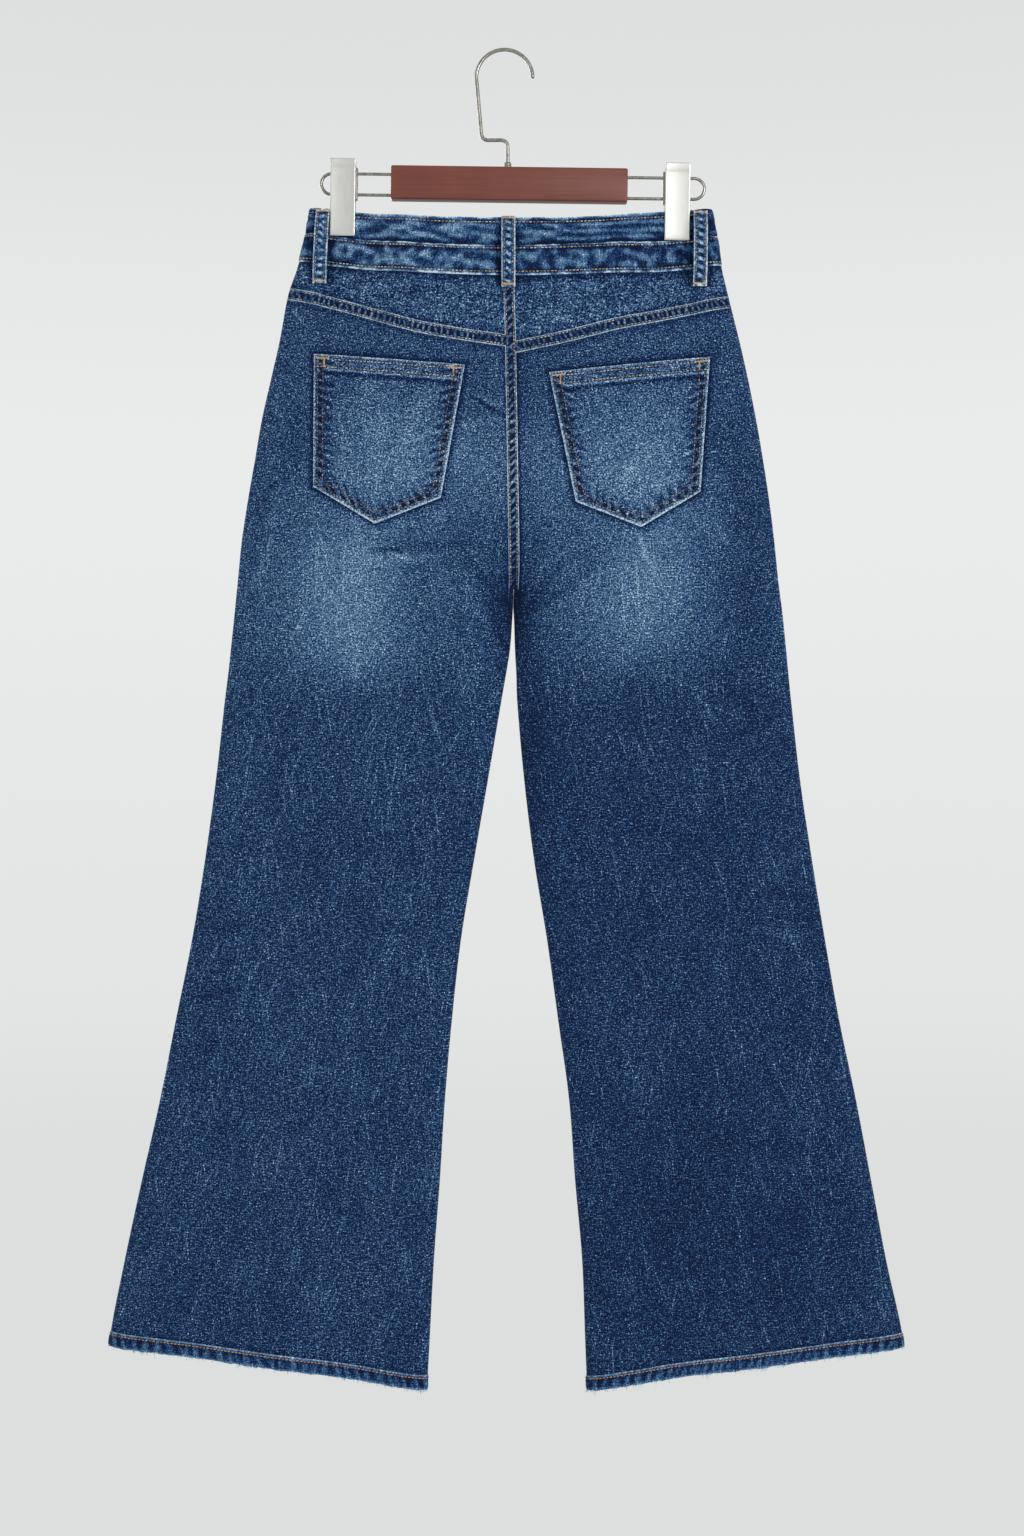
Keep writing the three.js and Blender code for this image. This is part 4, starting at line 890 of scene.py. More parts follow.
def add_threads(group, start, end, up, width=THREAD_WIDTH, height=THREAD_HEIGHT, sunk=0.3, tone=0.5):
    """Adds straight threads from start to end points, thickest between and sunk at both ends."""
    along = end - start
    share = np.array([0, 0.2, 0.8, 1])
    centre = start[:, None] + along[:, None] * share[:, None]
    up = up / np.linalg.norm(up, axis=-1, keepdims=True)
    aside = np.cross(along, up)
    aside /= np.linalg.norm(aside, axis=-1, keepdims=True)
    centre = centre + up[:, None] * (np.array([-sunk, 0.2, 0.2, -sunk]))[:, None]
    size = np.array([0.45, 1, 1, 0.45])[None, :, None, None]
    angle = 2 * math.pi * np.arange(THREAD_SIDES)[:, None] / THREAD_SIDES
    ring = (width / 2 * np.cos(angle) * aside[:, None, None] + height / 2 * np.sin(angle) * up[:, None, None])
    points = centre[:, :, None] + size * ring
    tones = tone + thread_draw.uniform(-0.3, 0.3, len(points))
    sewn.setdefault(group, []).append((points, tones))


def sew_row(group, line, outward, tone=0.5):
    """Adds a row of stitches along a line of surface points."""
    pitch = STITCH_PITCH
    lengths = np.concatenate([[0], np.cumsum(np.linalg.norm(np.diff(line, axis=0), axis=1))])
    t = np.arange(0.3, lengths[-1] - pitch, pitch)

    def at(values, where):
        return np.stack([np.interp(where, lengths, values[:, i]) for i in range(3)], axis=-1)

    wander = thread_draw.normal(0, 0.12, t.shape)
    ends = at(line, t + pitch * STITCH_SHARE + wander)
    add_threads(group, at(line, t), ends, at(outward, t), tone=tone)


def along_row(outer, inner, row):
    """A line along a grid at a fractional row, and the way out from the inner layer to the outer."""
    below = int(row)
    share = row - below
    line = outer[:, below] * (1 - share) + outer[:, below + 1] * share
    under = inner[:, below] * (1 - share) + inner[:, below + 1] * share
    return line, line - under


def band_path(thickness):
    """Each column's side, face, share or x (the other is None), and how far it turns in."""
    shares = 1 - np.cos(np.linspace(0, math.pi / 2, BAND_QUARTER))
    path = [("right", "front", None, x, 0) for x in np.linspace(CENTRE + LAP_OUTER, CENTRE + 1, 8)]
    path += [("left", "front", s, None, 0) for s in shares[:0:-1]]
    path += [("left", "back", s, None, 0) for s in shares]
    path += [("right", "back", s, None, 0) for s in shares[-2::-1]]
    bend_share = across("right", np.array(CENTRE + LAP_BEND[0]), np.array(-170.0))
    path += [("right", "front", s, None, 0) for s in shares[1:] if s < bend_share - 0.01]
    for x in np.linspace(CENTRE + LAP_BEND[0], CENTRE - LAP_UNDER, 40):
        inward = (thickness + 0.3) * smooth(CENTRE + LAP_BEND[0] - x, 0, LAP_BEND[0] - LAP_BEND[1])
        path.append(("right" if x >= CENTRE else "left", "front", None, x, inward))
    return path


def band_points(path, z_of, out):
    """Points of a band: z_of(face, x) gives the heights of a column, and out its distances."""
    points = np.empty((len(path),) + out.shape[1:] + (3,))
    for i, (side, face, share, x, inward) in enumerate(path):
        if share is None:
            z = z_of(face, x)
            s = across(side, x, z)
        else:
            z = z_of(face, cloth_middle(side, face, share, np.array(-165.0))[0])
            s = np.full(z.shape, share)
        moved = cloth_outward(side, face, s, z) * (out[i] - inward)[:, None]
        points[i] = cloth_middle(side, face, s, z) + moved
        if share == 0:
            points[i, :, 1] = 0
    return points


def band(name, node, top_line, foot_line, thickness, extra_top, look, seed, stitched):
    """One waistband strip with rounded edges. The look gives height and fade over t and h."""
    path = band_path(thickness)
    h = 0.35 * (1 - np.cos(np.linspace(0, math.pi, BAND_ROWS))) / 2 + 0.65 * np.linspace(0, 1, BAND_ROWS)

    def heights(face, x):
        top = waist_line(top_line, face, x) + extra_top
        foot = waist_line(foot_line, face, x) + 0.1
        return foot + (top - foot) * h

    flat = np.zeros((len(path), BAND_ROWS))
    middle = band_points(path, heights, flat)
    steps = np.linalg.norm(np.diff(middle[:, BAND_ROWS // 2], axis=0), axis=-1)
    t = np.concatenate([[0], np.cumsum(steps)])
    height, change = look(t[:, None], h[None, :] * BAND_SPAN, seed)
    darker = -BAND_DARKER * smooth(middle[..., 0], -20, 60)
    for face in ("back", "front"):
        near = BAND_LOOP_SHADOW * beside_loops(face, middle[..., 0], middle[..., 2])
        darker = darker - near * (middle[..., 1] * SIGN[face] > 0)
    rounding = 1 - 0.55 * np.abs(2 * h - 1)**7
    outer = band_points(path, heights, thickness / 2 * rounding + height)
    inner = band_points(path, heights, -thickness / 2 * rounding + flat)
    grain = np.stack(np.broadcast_arrays(middle[..., 2] + seed * 500, t[:, None], float(seed * 40)), axis=-1)
    sew_cloth(name, node, outer, inner, BAND_FADE + change + darker, grain,
              material=seamed_denim)
    for height_mm in stitched:
        row = np.interp(height_mm / BAND_SPAN, h, np.arange(BAND_ROWS))
        sew_row("waistband", *along_row(outer, inner, row))


def bump_at(value, centre, width):
    """A soft rise of 1 at a place, for lines of wear, grooves and shadows."""
    return np.exp(-((value - centre) / width)**2)


def lines_of(value, rows):
    """A sum of soft lines, each with its place, its width and its change."""
    return sum(change * bump_at(value, centre, width) for centre, width, change in rows)


# Heights above the foot of a band, in mm: the worn edges and the painted shadows beside the
# stitching and at the upper band's foot change the fade, and the grooves that the stitching pulls change the
# height
UPPER_WEAR_AND_SHADOW = [(25, 1.2, 0.46), (20.8, 1.3, -0.26), (1.2, 2.6, -0.46)]
UPPER_GROOVES = [(20.8, 0.8, -0.25)]
LOWER_WEAR_AND_SHADOW = [(25, 1.4, 0.46), (0, 1.4, 0.5), (21.3, 1.7, -0.36), (3.4, 1.3, -0.34)]
LOWER_GROOVES = [(22.3, 0.8, -0.25), (3, 0.8, -0.25)]


def upper_band_look(t, up, seed):
    """Slanting puckers below one groove, a pale top edge and a foot darkened by painted shadow."""
    levels = np.tanh(1.7 * uneven(t, up, seed, 5, 13, stretch=4.0, lean=1.0))
    height = 0.3 * levels * bump_at(up, 11, 9) + 0.12 * uneven(t, up, seed + 1, 5, 14)
    change = 0.24 * levels + 0.08 * uneven(t, up, seed + 2, 5, 12, stretch=0.6, lean=0.4)
    return height + lines_of(up, UPPER_GROOVES), change + lines_of(up, UPPER_WEAR_AND_SHADOW) - 0.005


def lower_band_look(t, up, seed):
    """Broad puckers between two grooves, and pale edges."""
    puckers = np.tanh(1.9 * uneven(t, up, seed, 9, 24, stretch=0.9, lean=0.4))
    inside = bump_at(up, 12.5, 9)
    height = 0.32 * puckers * inside + 0.1 * uneven(t, up, seed + 1, 4, 9)
    change = 0.24 * puckers + 0.09 * uneven(t, up, seed + 2, 4, 11, stretch=0.6)
    return height + lines_of(up, LOWER_GROOVES), change + lines_of(up, LOWER_WEAR_AND_SHADOW) - 0.025


band("waistband_upper_strip", "waistband_upper", "top", "middle", UPPER_BAND, extra_top=0,
     look=upper_band_look, seed=30, stitched=[20.8])
band("waistband_lower_strip", "waistband_lower", "middle", "bottom", LOWER_BAND, extra_top=1.2,
     look=lower_band_look, seed=70, stitched=[22.3, 3])


# Felled seams: the yoke seams and the centre back are lapped over and sewn with two rows,
# so they stand up as a narrow puckered ridge, pale along its edges and on each pucker.
FELL_WIDTH = 10.4
CENTRE_FELL_WIDTH = 9.4
FELL_ROWS = 21
FELL_ROW_AT = 0.62
FELL_RISE = 0.9
FELL_GROOVE = 0.24
FELL_PUCKER = 0.26
FELL_EDGE_WEAR = 0.62
FELL_SHADOW = 0.34
FELL_PUCKER_WEAR = 0.52
YOKE_SEAM_ENDS = {"left": -188.6, "right": 196.4}


def walk(points, step):
    """Even steps along a line of points, and the length at each."""
    points = np.asarray(points, float)
    lengths = np.concatenate([[0], np.cumsum(np.linalg.norm(np.diff(points, axis=0), axis=-1))])
    t = np.arange(0, lengths[-1], step)
    return np.stack([np.interp(t, lengths, points[:, i]) for i in range(points.shape[1])], axis=-1), t


def beside(line, distance):
    """A line of x and z moved to its left by a distance."""
    run = np.gradient(line, axis=0)
    run /= np.linalg.norm(run, axis=-1, keepdims=True)
    return line + distance * np.stack([-run[:, 1], run[:, 0]], axis=-1)


def felled_seam(name, face, path, seed, lean, waves, width=FELL_WIDTH, lighter=0.04):
    """A ridge along a path, with puckers that lean and have waves of these lengths."""
    line, t = walk(path, 1.0)
    w = np.linspace(-1, 1, FELL_ROWS)
    strip = np.stack([beside(line, share * width / 2) for share in w], axis=1)
    x, z = strip[..., 0], strip[..., 1]
    w_mm = w * width / 2
    puckers = np.tanh(2 * uneven(t[:, None], w_mm[None, :], seed, *waves, lean=lean, turn=0.35))
    wander = 0.3 * uneven(t[:, None], 0 * w, seed + 1, 30, 70)
    grooves = bump_at(np.abs(w), FELL_ROW_AT, 0.15)
    between = bump_at(w, 0, 0.45)
    out = CLOTH / 2 + FELL_RISE * (1 - np.abs(w)**5) - FELL_GROOVE * grooves + FELL_PUCKER * puckers * between
    outer = on_cloth(face, x + wander * (1 - np.abs(w)), z, out)
    inner = on_cloth(face, x, z, np.full(x.shape, 0.1))
    fade = np.where(x < CENTRE, dye_fade_and_shade("left", face, x, z), dye_fade_and_shade("right", face, x, z))
    fade = fade + lighter + FELL_EDGE_WEAR * bump_at(np.abs(w), 1, 0.2) - FELL_SHADOW * grooves
    fade = fade + between * (FELL_PUCKER_WEAR * puckers - 0.2)
    grain = np.stack(np.broadcast_arrays(t[:, None] + 70 * seed, w_mm, float(seed * 17)), axis=-1)
    sew_cloth(name, None, outer, inner, fade, grain, material=seamed_denim)
    for place_across in (-FELL_ROW_AT, FELL_ROW_AT):
        sew_row("seams", *along_row(outer, inner, (place_across + 1) / 2 * (FELL_ROWS - 1)), tone=0.42)


for side in ("left", "right"):
    xs = np.linspace(YOKE_SEAM_ENDS[side], CENTRE + 1 + 0.6 * SIGN[side], 60)
    yoke_path = np.stack([xs, yoke_seam(side, xs)], axis=-1)
    felled_seam(f"yoke_felled_seam_{side}", "back", yoke_path, 210 + SIGN[side],
                lean=0.1, waves=(3.8, 6))
centre_z = np.linspace(-202, -474, 60)
centre_path = np.stack([centre_line(centre_z), centre_z], axis=-1)
felled_seam("centre_back_felled_seam", "back", centre_path, 310,
            lean=0.9, waves=(5.5, 9), width=CENTRE_FELL_WIDTH)


# Back pockets: five-cornered patches with a turned top hem, pressed edges, and two rows
# of stitching round the sides, which pucker the cloth between and beside them.
POCKET_COLUMNS = 92
POCKET_ROWS = 94
POCKET_OUT = 1.75
POCKET_ROWS_AT = (3.5, 8.2)
POCKET_HEM_ROWS_AT = (4, 10.8)
POCKET_HEM = 14
POCKET_PALER = {"left": 0.023, "right": 0.046}
POCKET_SIDE_SHADOW = 0.12
POCKET_HEM_SHADOW = 0.34
POCKET_HEM_WEAR = 0.38
POCKET_EDGE_WEAR = 0.52
POCKET_STITCH_SHADOW = 0.26
POCKET_PUCKER = 0.26
POCKET_PATH = ["top_out", "foot_out", "tip", "foot_in", "top_in"]
BARTACK_LENGTH = 11
BARTACK_DROP = (7, 7.5)
BARTACK_PITCH = 0.55
BARTACK_WIDTH = 2.3


def pocket_point(corners, u, v):
    """x and z at u across and v down a pocket."""
    top = np.array(corners["top_out"]) + u[..., None] * np.subtract(corners["top_in"], corners["top_out"])
    foot_out, tip, foot_in = (np.array(corners[c]) for c in ("foot_out", "tip", "foot_in"))
    share = (tip[0] - foot_out[0]) / (foot_in[0] - foot_out[0])
    before = foot_out + (u / share)[..., None] * (tip - foot_out)
    after = tip + ((u - share) / (1 - share))[..., None] * (foot_in - tip)
    foot = np.where((u < share)[..., None], before, after)
    return top + (foot - top) * v[..., None]


def inset(corners, top_inset, side_inset):
    """A pocket's corners when its edges are moved inward."""
    edges = [(n, c + (side_inset if i else top_inset)) for i, (n, c) in enumerate(pocket_edges(corners))]
    moved = [np.linalg.solve(np.array([edges[i - 1][0], edges[i][0]]), [edges[i - 1][1], edges[i][1]])
             for i in range(5)]
    return dict(zip(POCKET_ORDER, moved))


def pocket_look(side, x, z):
    """Height above the middle of the leg's cloth, and fade, at x and z on a pocket."""
    away = [x * n[0] + z * n[1] - c for n, c in pocket_edges(POCKETS[side])]
    top, sides, feet = away[0], np.minimum(away[1], away[4]), np.minimum(away[2], away[3])
    near = np.minimum(sides, feet)
    run = np.where(sides < feet, z, x)

    # The two rows pucker the cloth between them and, more weakly, inside them
    puckers = np.tanh(1.6 * uneven(run, near, 400 + SIGN[side], 6, 10, lean=0.4, turn=0.5))
    between = bump_at(near, 5.5, 2.4)
    beyond = bump_at(near, 12, 5)
    stitched = sum(bump_at(near, row, 0.7) for row in POCKET_ROWS_AT) * smooth(top, 1.5, 3)
    stitched = stitched + sum(bump_at(top, row, 0.7) for row in POCKET_HEM_ROWS_AT) * smooth(near, 1.5, 3)
    pressed = smooth(near, 0, 1.6) * smooth(top, -0.2, 1.2)

    # The edges are pressed thin, the mouth stands off a little, and its hem is double
    height = POCKET_OUT - 0.75 * (1 - pressed) + 0.9 * np.exp(-(top / 16)**2) * smooth(near, 0, 30)
    height = height + POCKET_PUCKER * puckers * (between + 0.7 * beyond)
    height = height + 0.5 * (1 - smooth(top, POCKET_HEM - 0.8, POCKET_HEM + 0.5))

    # Worn pale on the edges, the hem's fold and the puckers, with painted shadow along the stitching, below
    # the hem and inside the rows
    fade = dye_fade_and_shade(side, "back", x, z) + 0.02 * smooth(near, 10, 40) * smooth(top, 18, 60)
    fade = fade + POCKET_PALER[side] - POCKET_SIDE_SHADOW * bump_at(near, 11, 5) * smooth(top, 12, 24)
    fade = fade - POCKET_HEM_SHADOW * bump_at(top, POCKET_HEM + 2, 1.9) * smooth(near, 3, 9)
    fade = fade + POCKET_HEM_WEAR * bump_at(top, POCKET_HEM - 0.6, 1) * smooth(near, 2, 5)
    fade = fade + POCKET_EDGE_WEAR * np.exp(-(np.minimum(near, top + 0.3) / 1.7)**2)
    fade = fade - POCKET_STITCH_SHADOW * stitched
    fade = fade + between * (0.34 * puckers - 0.24) * smooth(top, 4, 12)
    fade = fade + np.where(sides < feet, 0.26, 0.15) * puckers * beyond
    fade = fade + 0.12 * bump_at(top, 7.5, 2.2) * smooth(near, 6, 12) * (0.4 + uneven(x, z, 440, 6, 14))
    fade = fade + 0.025 * uneven(x, z, 420 + SIGN[side], 10, 26, stretch=1.5)
    return height - 0.2 * stitched, fade


def pocket_height(side, x, z):
    """How far a pocket's face stands out from the middle of the leg's cloth."""
    return pocket_look(side, x, z)[0]


def line_on(face, line, out_of):
    """Surface points and outward directions along a line of x and z, with out_of(x, z) in mm."""
    x, z = line[:, 0], line[:, 1]
    out = out_of(x, z)
    points = on_cloth(face, x, z, out)
    return points, on_cloth(face, x, z, out + 1) - points


def add_bartack(group, start, end, outward, width=BARTACK_WIDTH):
    """A close zigzag of thread over a line between two surface points."""
    start, end, outward = (np.asarray(v, float) for v in (start, end, outward))
    outward = outward / np.linalg.norm(outward)
    run = (end - start) / np.linalg.norm(end - start)
    aside = np.cross(run, outward)
    t = np.arange(0, np.linalg.norm(end - start), BARTACK_PITCH)[:, None]
    middle = start + run * t
    slant = run * BARTACK_PITCH * np.where(np.arange(len(t)) % 2, 1, -1)[:, None]
    half = aside * width / 2
    up = np.broadcast_to(outward, middle.shape)
    add_threads(group, middle - half - slant, middle + half + slant, up, width=0.62, height=0.7, sunk=0.1)


for side in ("left", "right"):
    corners = POCKETS[side]
    u, v = np.meshgrid(np.linspace(0, 1, POCKET_COLUMNS), np.linspace(0, 1, POCKET_ROWS), indexing="ij")
    u = 0.5 * u + 0.25 * (1 - np.cos(math.pi * u))
    v = 0.5 * v + 0.25 * (1 - np.cos(math.pi * v))
    flat_points = pocket_point(corners, u, v)
    x, z = flat_points[..., 0], flat_points[..., 1]
    height, fade = pocket_look(side, x, z)
    inner = np.maximum(height - CLOTH - 0.1, CLOTH / 2 - 0.05)
    sew_cloth(f"back_patch_pocket_{side}", f"back_pocket_{side}", on_cloth("back", x, z, height),
              on_cloth("back", x, z, inner), fade,
              grain_of(side, "back", x, z) + (2000 + 700 * SIGN[side], 333, 11))
    on_pocket = partial(pocket_height, side)
    for row in POCKET_ROWS_AT:
        outline = inset(corners, 2.4, row)
        path, _ = walk([outline[c] for c in POCKET_PATH], 1.0)
        sew_row("pockets", *line_on("back", path, on_pocket), tone=0.25)
    for row in POCKET_HEM_ROWS_AT:
        outline = inset(corners, row, 2)
        path, _ = walk([outline["top_out"], outline["top_in"]], 1.0)
        sew_row("pockets", *line_on("back", path, on_pocket))
    outline = inset(corners, 3.2, 2.2)
    top_run = outline["top_in"] - outline["top_out"]
    top_run /= np.linalg.norm(top_run)
    for corner, inward in ((outline["top_out"], top_run), (outline["top_in"], -top_run)):
        turn_at = corner + inward * BARTACK_DROP[0]
        for start, end in ((corner, corner + inward * BARTACK_LENGTH),
                           (turn_at, turn_at + np.array([0, -BARTACK_DROP[1]]))):
            points, outward = line_on("back", np.array([start, end]), on_pocket)
            add_bartack("bartacks", points[0], points[1], outward[0], BARTACK_WIDTH * 0.6)


# Belt loops: folded strips, bartacked at both ends and bowed out between so that a belt
# passes under. Their edges and the ladder of the cover stitch behind are worn pale.
LOOP_BOW = 6
LOOP_CLOTH = 1.6
LOOP_PROFILE = table(
    "down bow", (0, 0), (0.06, 0), (0.13, 0.45), (0.2, 0.88), (0.28, 1), (0.5, 1), (0.7, 1), (0.79, 0.88),
    (0.87, 0.45), (0.94, 0), (1, 0))
LOOP_COLUMNS = 21
LOOP_ROWS = 90
LOOP_ROW_AT = 0.6
LOOP_TACKS_AT = (0.03, 0.968)
LOOP_GAP = 0.35
LOOP_FADE = 0.46
LOOP_EDGE_WEAR = 0.46
LOOP_SHADOW_LINE = 0.34
LOOP_LADDER_WEAR = 0.4


def surface_rise(face, x, z):
    """How far the middle of the cloth stands from the plane between back and front."""
    side = "left" if np.mean(x) < CENTRE else "right"
    return np.abs(cloth_middle(side, face, across(side, x, z), z)[..., 1])


def eased(values, half):
    """A running mean, for a strip that is too stiff to follow each step."""
    window = np.ones(2 * half + 1) / (2 * half + 1)
    return np.convolve(np.pad(values, half, mode="edge"), window, mode="valid")


for loop_number, (loop_name, (face, top_x, foot_x, top_z, foot_z)) in enumerate(LOOPS.items()):
    down = np.linspace(0, 1, LOOP_ROWS)
    z = top_z + (foot_z - top_z) * down
    middle = top_x + (foot_x - top_x) * down
    spread = np.linspace(-LOOP_WIDTH / 2, LOOP_WIDTH / 2, 5)
    highest = np.max([surface_rise(face, middle + w, z) for w in spread], axis=0)
    seat = highest + np.where(down > 0.9, CLOTH / 2, LOWER_BAND / 2) + LOOP_GAP + LOOP_CLOTH / 2
    line = eased(eased(seat, 4) + LOOP_BOW * np.interp(down, LOOP_PROFILE["down"], LOOP_PROFILE["bow"]), 3)
    w = np.linspace(-1, 1, LOOP_COLUMNS)[:, None]
    w_mm = w * LOOP_WIDTH / 2
    ladder = np.tanh(2 * uneven(z[None, :], w_mm, 600 + loop_number, 5.5, 8, lean=0.12, turn=0.4))
    ladder = ladder * bump_at(w, 0, 0.42)
    rounding = LOOP_CLOTH / 2 * (1 - 0.5 * np.abs(w)**6)
    grooves = bump_at(np.abs(w), LOOP_ROW_AT, 0.14)
    outward = line[None, :] + rounding + 0.24 * ladder - 0.2 * grooves
    x = middle[None, :] + w_mm
    grid_z = np.broadcast_to(z, x.shape)
    outer = np.stack([x, SIGN[face] * outward, grid_z], axis=-1)
    inner = np.stack([x, SIGN[face] * np.broadcast_to(line[None, :] - rounding, x.shape), grid_z], axis=-1)
    fade = LOOP_FADE + LOOP_EDGE_WEAR * bump_at(np.abs(w), 1, 0.2) - LOOP_SHADOW_LINE * grooves
    fade = fade + LOOP_LADDER_WEAR * ladder + 0.35 * bump_at(down, 1, 0.014)
    grain = np.stack(np.broadcast_arrays(x + 4000 + 90 * loop_number, grid_z, 50.0 + loop_number), axis=-1)
    sew_cloth(f"belt_strap_{loop_name}", f"belt_loop_{loop_name}", outer, inner, fade, grain,
              material=seamed_denim)
    turned = outer.transpose(1, 0, 2), inner.transpose(1, 0, 2)
    for place_across in (-LOOP_ROW_AT, LOOP_ROW_AT):
        sew_row("loops", *along_row(*turned, (place_across + 1) / 2 * (LOOP_COLUMNS - 1)), tone=0.3)
    for tack in LOOP_TACKS_AT:
        row = int(tack * (LOOP_ROWS - 1))
        add_bartack("bartacks", outer[1, row], outer[-2, row], (0, SIGN[face], 0))


# Hems: the foot of each leg is turned up and sewn with one row. Washing has roped the
# fold, so it is puckered on a slant, pale on its ridges, and frayed along the edge.
HEM_CLOTH = 3
HEM_COLUMNS = 170
HEM_ROWS = 15
HEM_ROW_AT = 10.4
HEM_FADE = 0.26
# Lines above the hem's edge: worn pale at the fold and the edge, and painted shade along the stitched groove
# and just below it
HEM_WEAR_AND_SHADE = [(12.9, 1.3, 0.5), (0, 1.8, 0.4), (HEM_ROW_AT, 0.9, -0.14), (8.5, 1.2, -0.1)]
HEM_ROPING = 0.32
FRAYS = 420
FRAY_LENGTH = (0.8, 2.6)
FRAY_WIDTH = 0.42

hem_shares = (1 - np.cos(np.linspace(0, math.pi, HEM_COLUMNS))) / 2
hem_stops = [("back", s) for s in hem_shares[:-1]] + [("front", s) for s in hem_shares[:0:-1]]
for side in ("left", "right"):
    up = np.linspace(0, HEM_HEIGHT - 0.05, HEM_ROWS)
    middle = np.empty((len(hem_stops), HEM_ROWS, 3))
    outward = np.empty_like(middle)
    for i, (face, s) in enumerate(hem_stops):
        z = on_curve(HEM_EDGE, "across", side, s) + up
        shares = np.full(z.shape, s)
        outward[i] = cloth_outward(side, face, shares, z)
        middle[i] = place(side, face, shares, z, np.zeros(z.shape))
        if s in (0, 1):
            middle[i, :, 1] = 0
    steps = np.linalg.norm(np.diff(middle[:, HEM_ROWS // 2], axis=0), axis=-1)
    t = np.concatenate([[0], np.cumsum(steps)])[:, None]
    roping = np.tanh(1.8 * uneven(t, up[None, :], 800 + SIGN[side], 5.5, 13, lean=0.35, turn=0.4))
    inside = bump_at(up, 6, 5)
    thick = HEM_CLOTH / 2 * (1 - 0.5 * np.abs(2 * up / HEM_HEIGHT - 1)**5)
    lift = thick + HEM_ROPING * roping * inside - 0.22 * bump_at(up, HEM_ROW_AT, 0.7)
    outer = middle + outward * lift[..., None]
    inner = middle - outward * np.broadcast_to(thick, lift.shape)[..., None]
    wave = 0.4 * uneven(t, 0 * up, 820, 5, 20)[:, 0]
    outer[:, 0, 2] += wave
    inner[:, 0, 2] += wave
    fade = HEM_FADE + lines_of(up, HEM_WEAR_AND_SHADE) + 0.25 * roping * inside + 0.05 * uneven(t, up, 830, 20, 80)
    grain = np.stack(np.broadcast_arrays(t, middle[..., 2], 300.0 + SIGN[side]), axis=-1)
    sew_cloth(f"leg_hem_{side}", f"hem_{side}", outer, inner, fade, grain, ring=True,
              material=seamed_denim)
    closed = np.vstack([outer, outer[:1]]), np.vstack([inner, inner[:1]])
    sew_row("hems", *along_row(*closed, HEM_ROW_AT / up[-1] * (HEM_ROWS - 1)))
    fray_draw = np.random.default_rng(850 + SIGN[side])
    worn_spots = np.clip(0.5 + 0.7 * uneven(t, 0 * up, 860, 25, 120)[:, 0], 0.05, None)
    chosen = fray_draw.choice(len(hem_stops), FRAYS, p=worn_spots / worn_spots.sum())
    root = outer[chosen, 0] + outward[chosen, 0] * fray_draw.uniform(-1.4, 0.1, (FRAYS, 1))
    to_next = outer[(chosen + 1) % len(outer), 0] - outer[chosen, 0]
    root = root + to_next * fray_draw.uniform(0, 1, (FRAYS, 1))
    fall = fray_draw.normal(0, 0.45, (FRAYS, 3)) + (0, 0, -1)
    fall = fall * fray_draw.uniform(*FRAY_LENGTH, (FRAYS, 1))
    add_threads("frays", root + (0, 0, 0.4), root + fall, outward[chosen, 0],
                width=FRAY_WIDTH, height=FRAY_WIDTH, sunk=0)


# Fly: the left front's folded edge laps over the centre in a J shape, sewn with two rows.
# Below it the centre front seam runs on to the crotch, topstitched on one side.
FLY_WIDTH = 38
FLY_LAP = 4
FLY_FOOT = -348
FLY_BEND = 34
FLY_CLOTH = 1.4
FLY_COLUMNS = 38
FLY_ROWS = 100
J_ROWS = (0, 5.5)
J_INSET = 6
J_TURN = [(0, -296), (2, -335), (FLY_WIDTH + 2 - J_INSET, -343)]
FLY_STITCHES = (-212, -340)
FLY_FOLD_ROW_AT = 2.2
FLY_TACKS = (-300, -342)
CENTRE_FRONT_SEAM = (-350, -478)
CENTRE_ROWS = (1.8, 7)
MOUTH_ROWS = (2, 7)


def fly_out(x, z):
    """How far the fly's face stands out, rounded down to the leg along its folded edge."""
    free_edge = CENTRE + FLY_LAP - x
    return CLOTH / 2 + 0.3 + FLY_CLOTH * smooth(free_edge, -0.6, 1.6)


u, v = np.meshgrid(np.linspace(0, 1, FLY_COLUMNS), np.linspace(0, 1, FLY_ROWS), indexing="ij")
x = CENTRE - FLY_WIDTH + (FLY_WIDTH + FLY_LAP) * u
fly_top = waist_line("bottom", "front", x) - 0.2
fly_foot = FLY_FOOT + FLY_BEND * (1 - u)**3
z = fly_top + (fly_foot - fly_top) * v
free_edge = CENTRE + FLY_LAP - x
puckers = np.tanh(1.6 * uneven(z, x, 710, 6, 11))
edge_share = bump_at(free_edge, 3.5, 3)
out = fly_out(x, z) + 0.2 * puckers * edge_share - 1.1 * (1 - smooth(u, 0, 0.05)) - 1.1 * smooth(v, 0.985, 1)
fade = dye_fade_and_shade("left", "front", x, z) + 0.34 * np.exp(-(free_edge / 1.2)**2) + 0.1 * puckers * edge_share
sew_cloth("fly_lap", "fly_flap", on_cloth("front", x, z, out),
          on_cloth("front", x, z, np.full(x.shape, CLOTH / 2)), fade,
          grain_of("left", "front", x, z) + (60, 20, 5))


def on_leg(x, z):
    """The outer face of a leg's cloth, out from its middle."""
    return np.full(np.shape(x), CLOTH / 2)


for row in J_ROWS:
    left = CENTRE - FLY_WIDTH + J_INSET + row
    bend = np.linspace(0, 1, 30)[:, None]
    start, control, end = np.array(J_TURN) + [(left, row), (left, row), (left - row, row)]
    curve = (1 - bend)**2 * start + 2 * bend * (1 - bend) * control + bend**2 * end
    path, _ = walk(np.vstack([[left, FLY_STITCHES[0]], curve]), 1.0)
    sew_row("front_seams", *line_on("front", path, fly_out))
path, _ = walk([(CENTRE + FLY_LAP - FLY_FOLD_ROW_AT, z) for z in FLY_STITCHES], 1.0)
sew_row("front_seams", *line_on("front", path, fly_out))
seam_z = np.linspace(*CENTRE_FRONT_SEAM, 90)
for row in CENTRE_ROWS:
    path = np.stack([centre_line(seam_z) - row, seam_z], axis=-1)
    sew_row("front_seams", *line_on("front", path, on_leg))
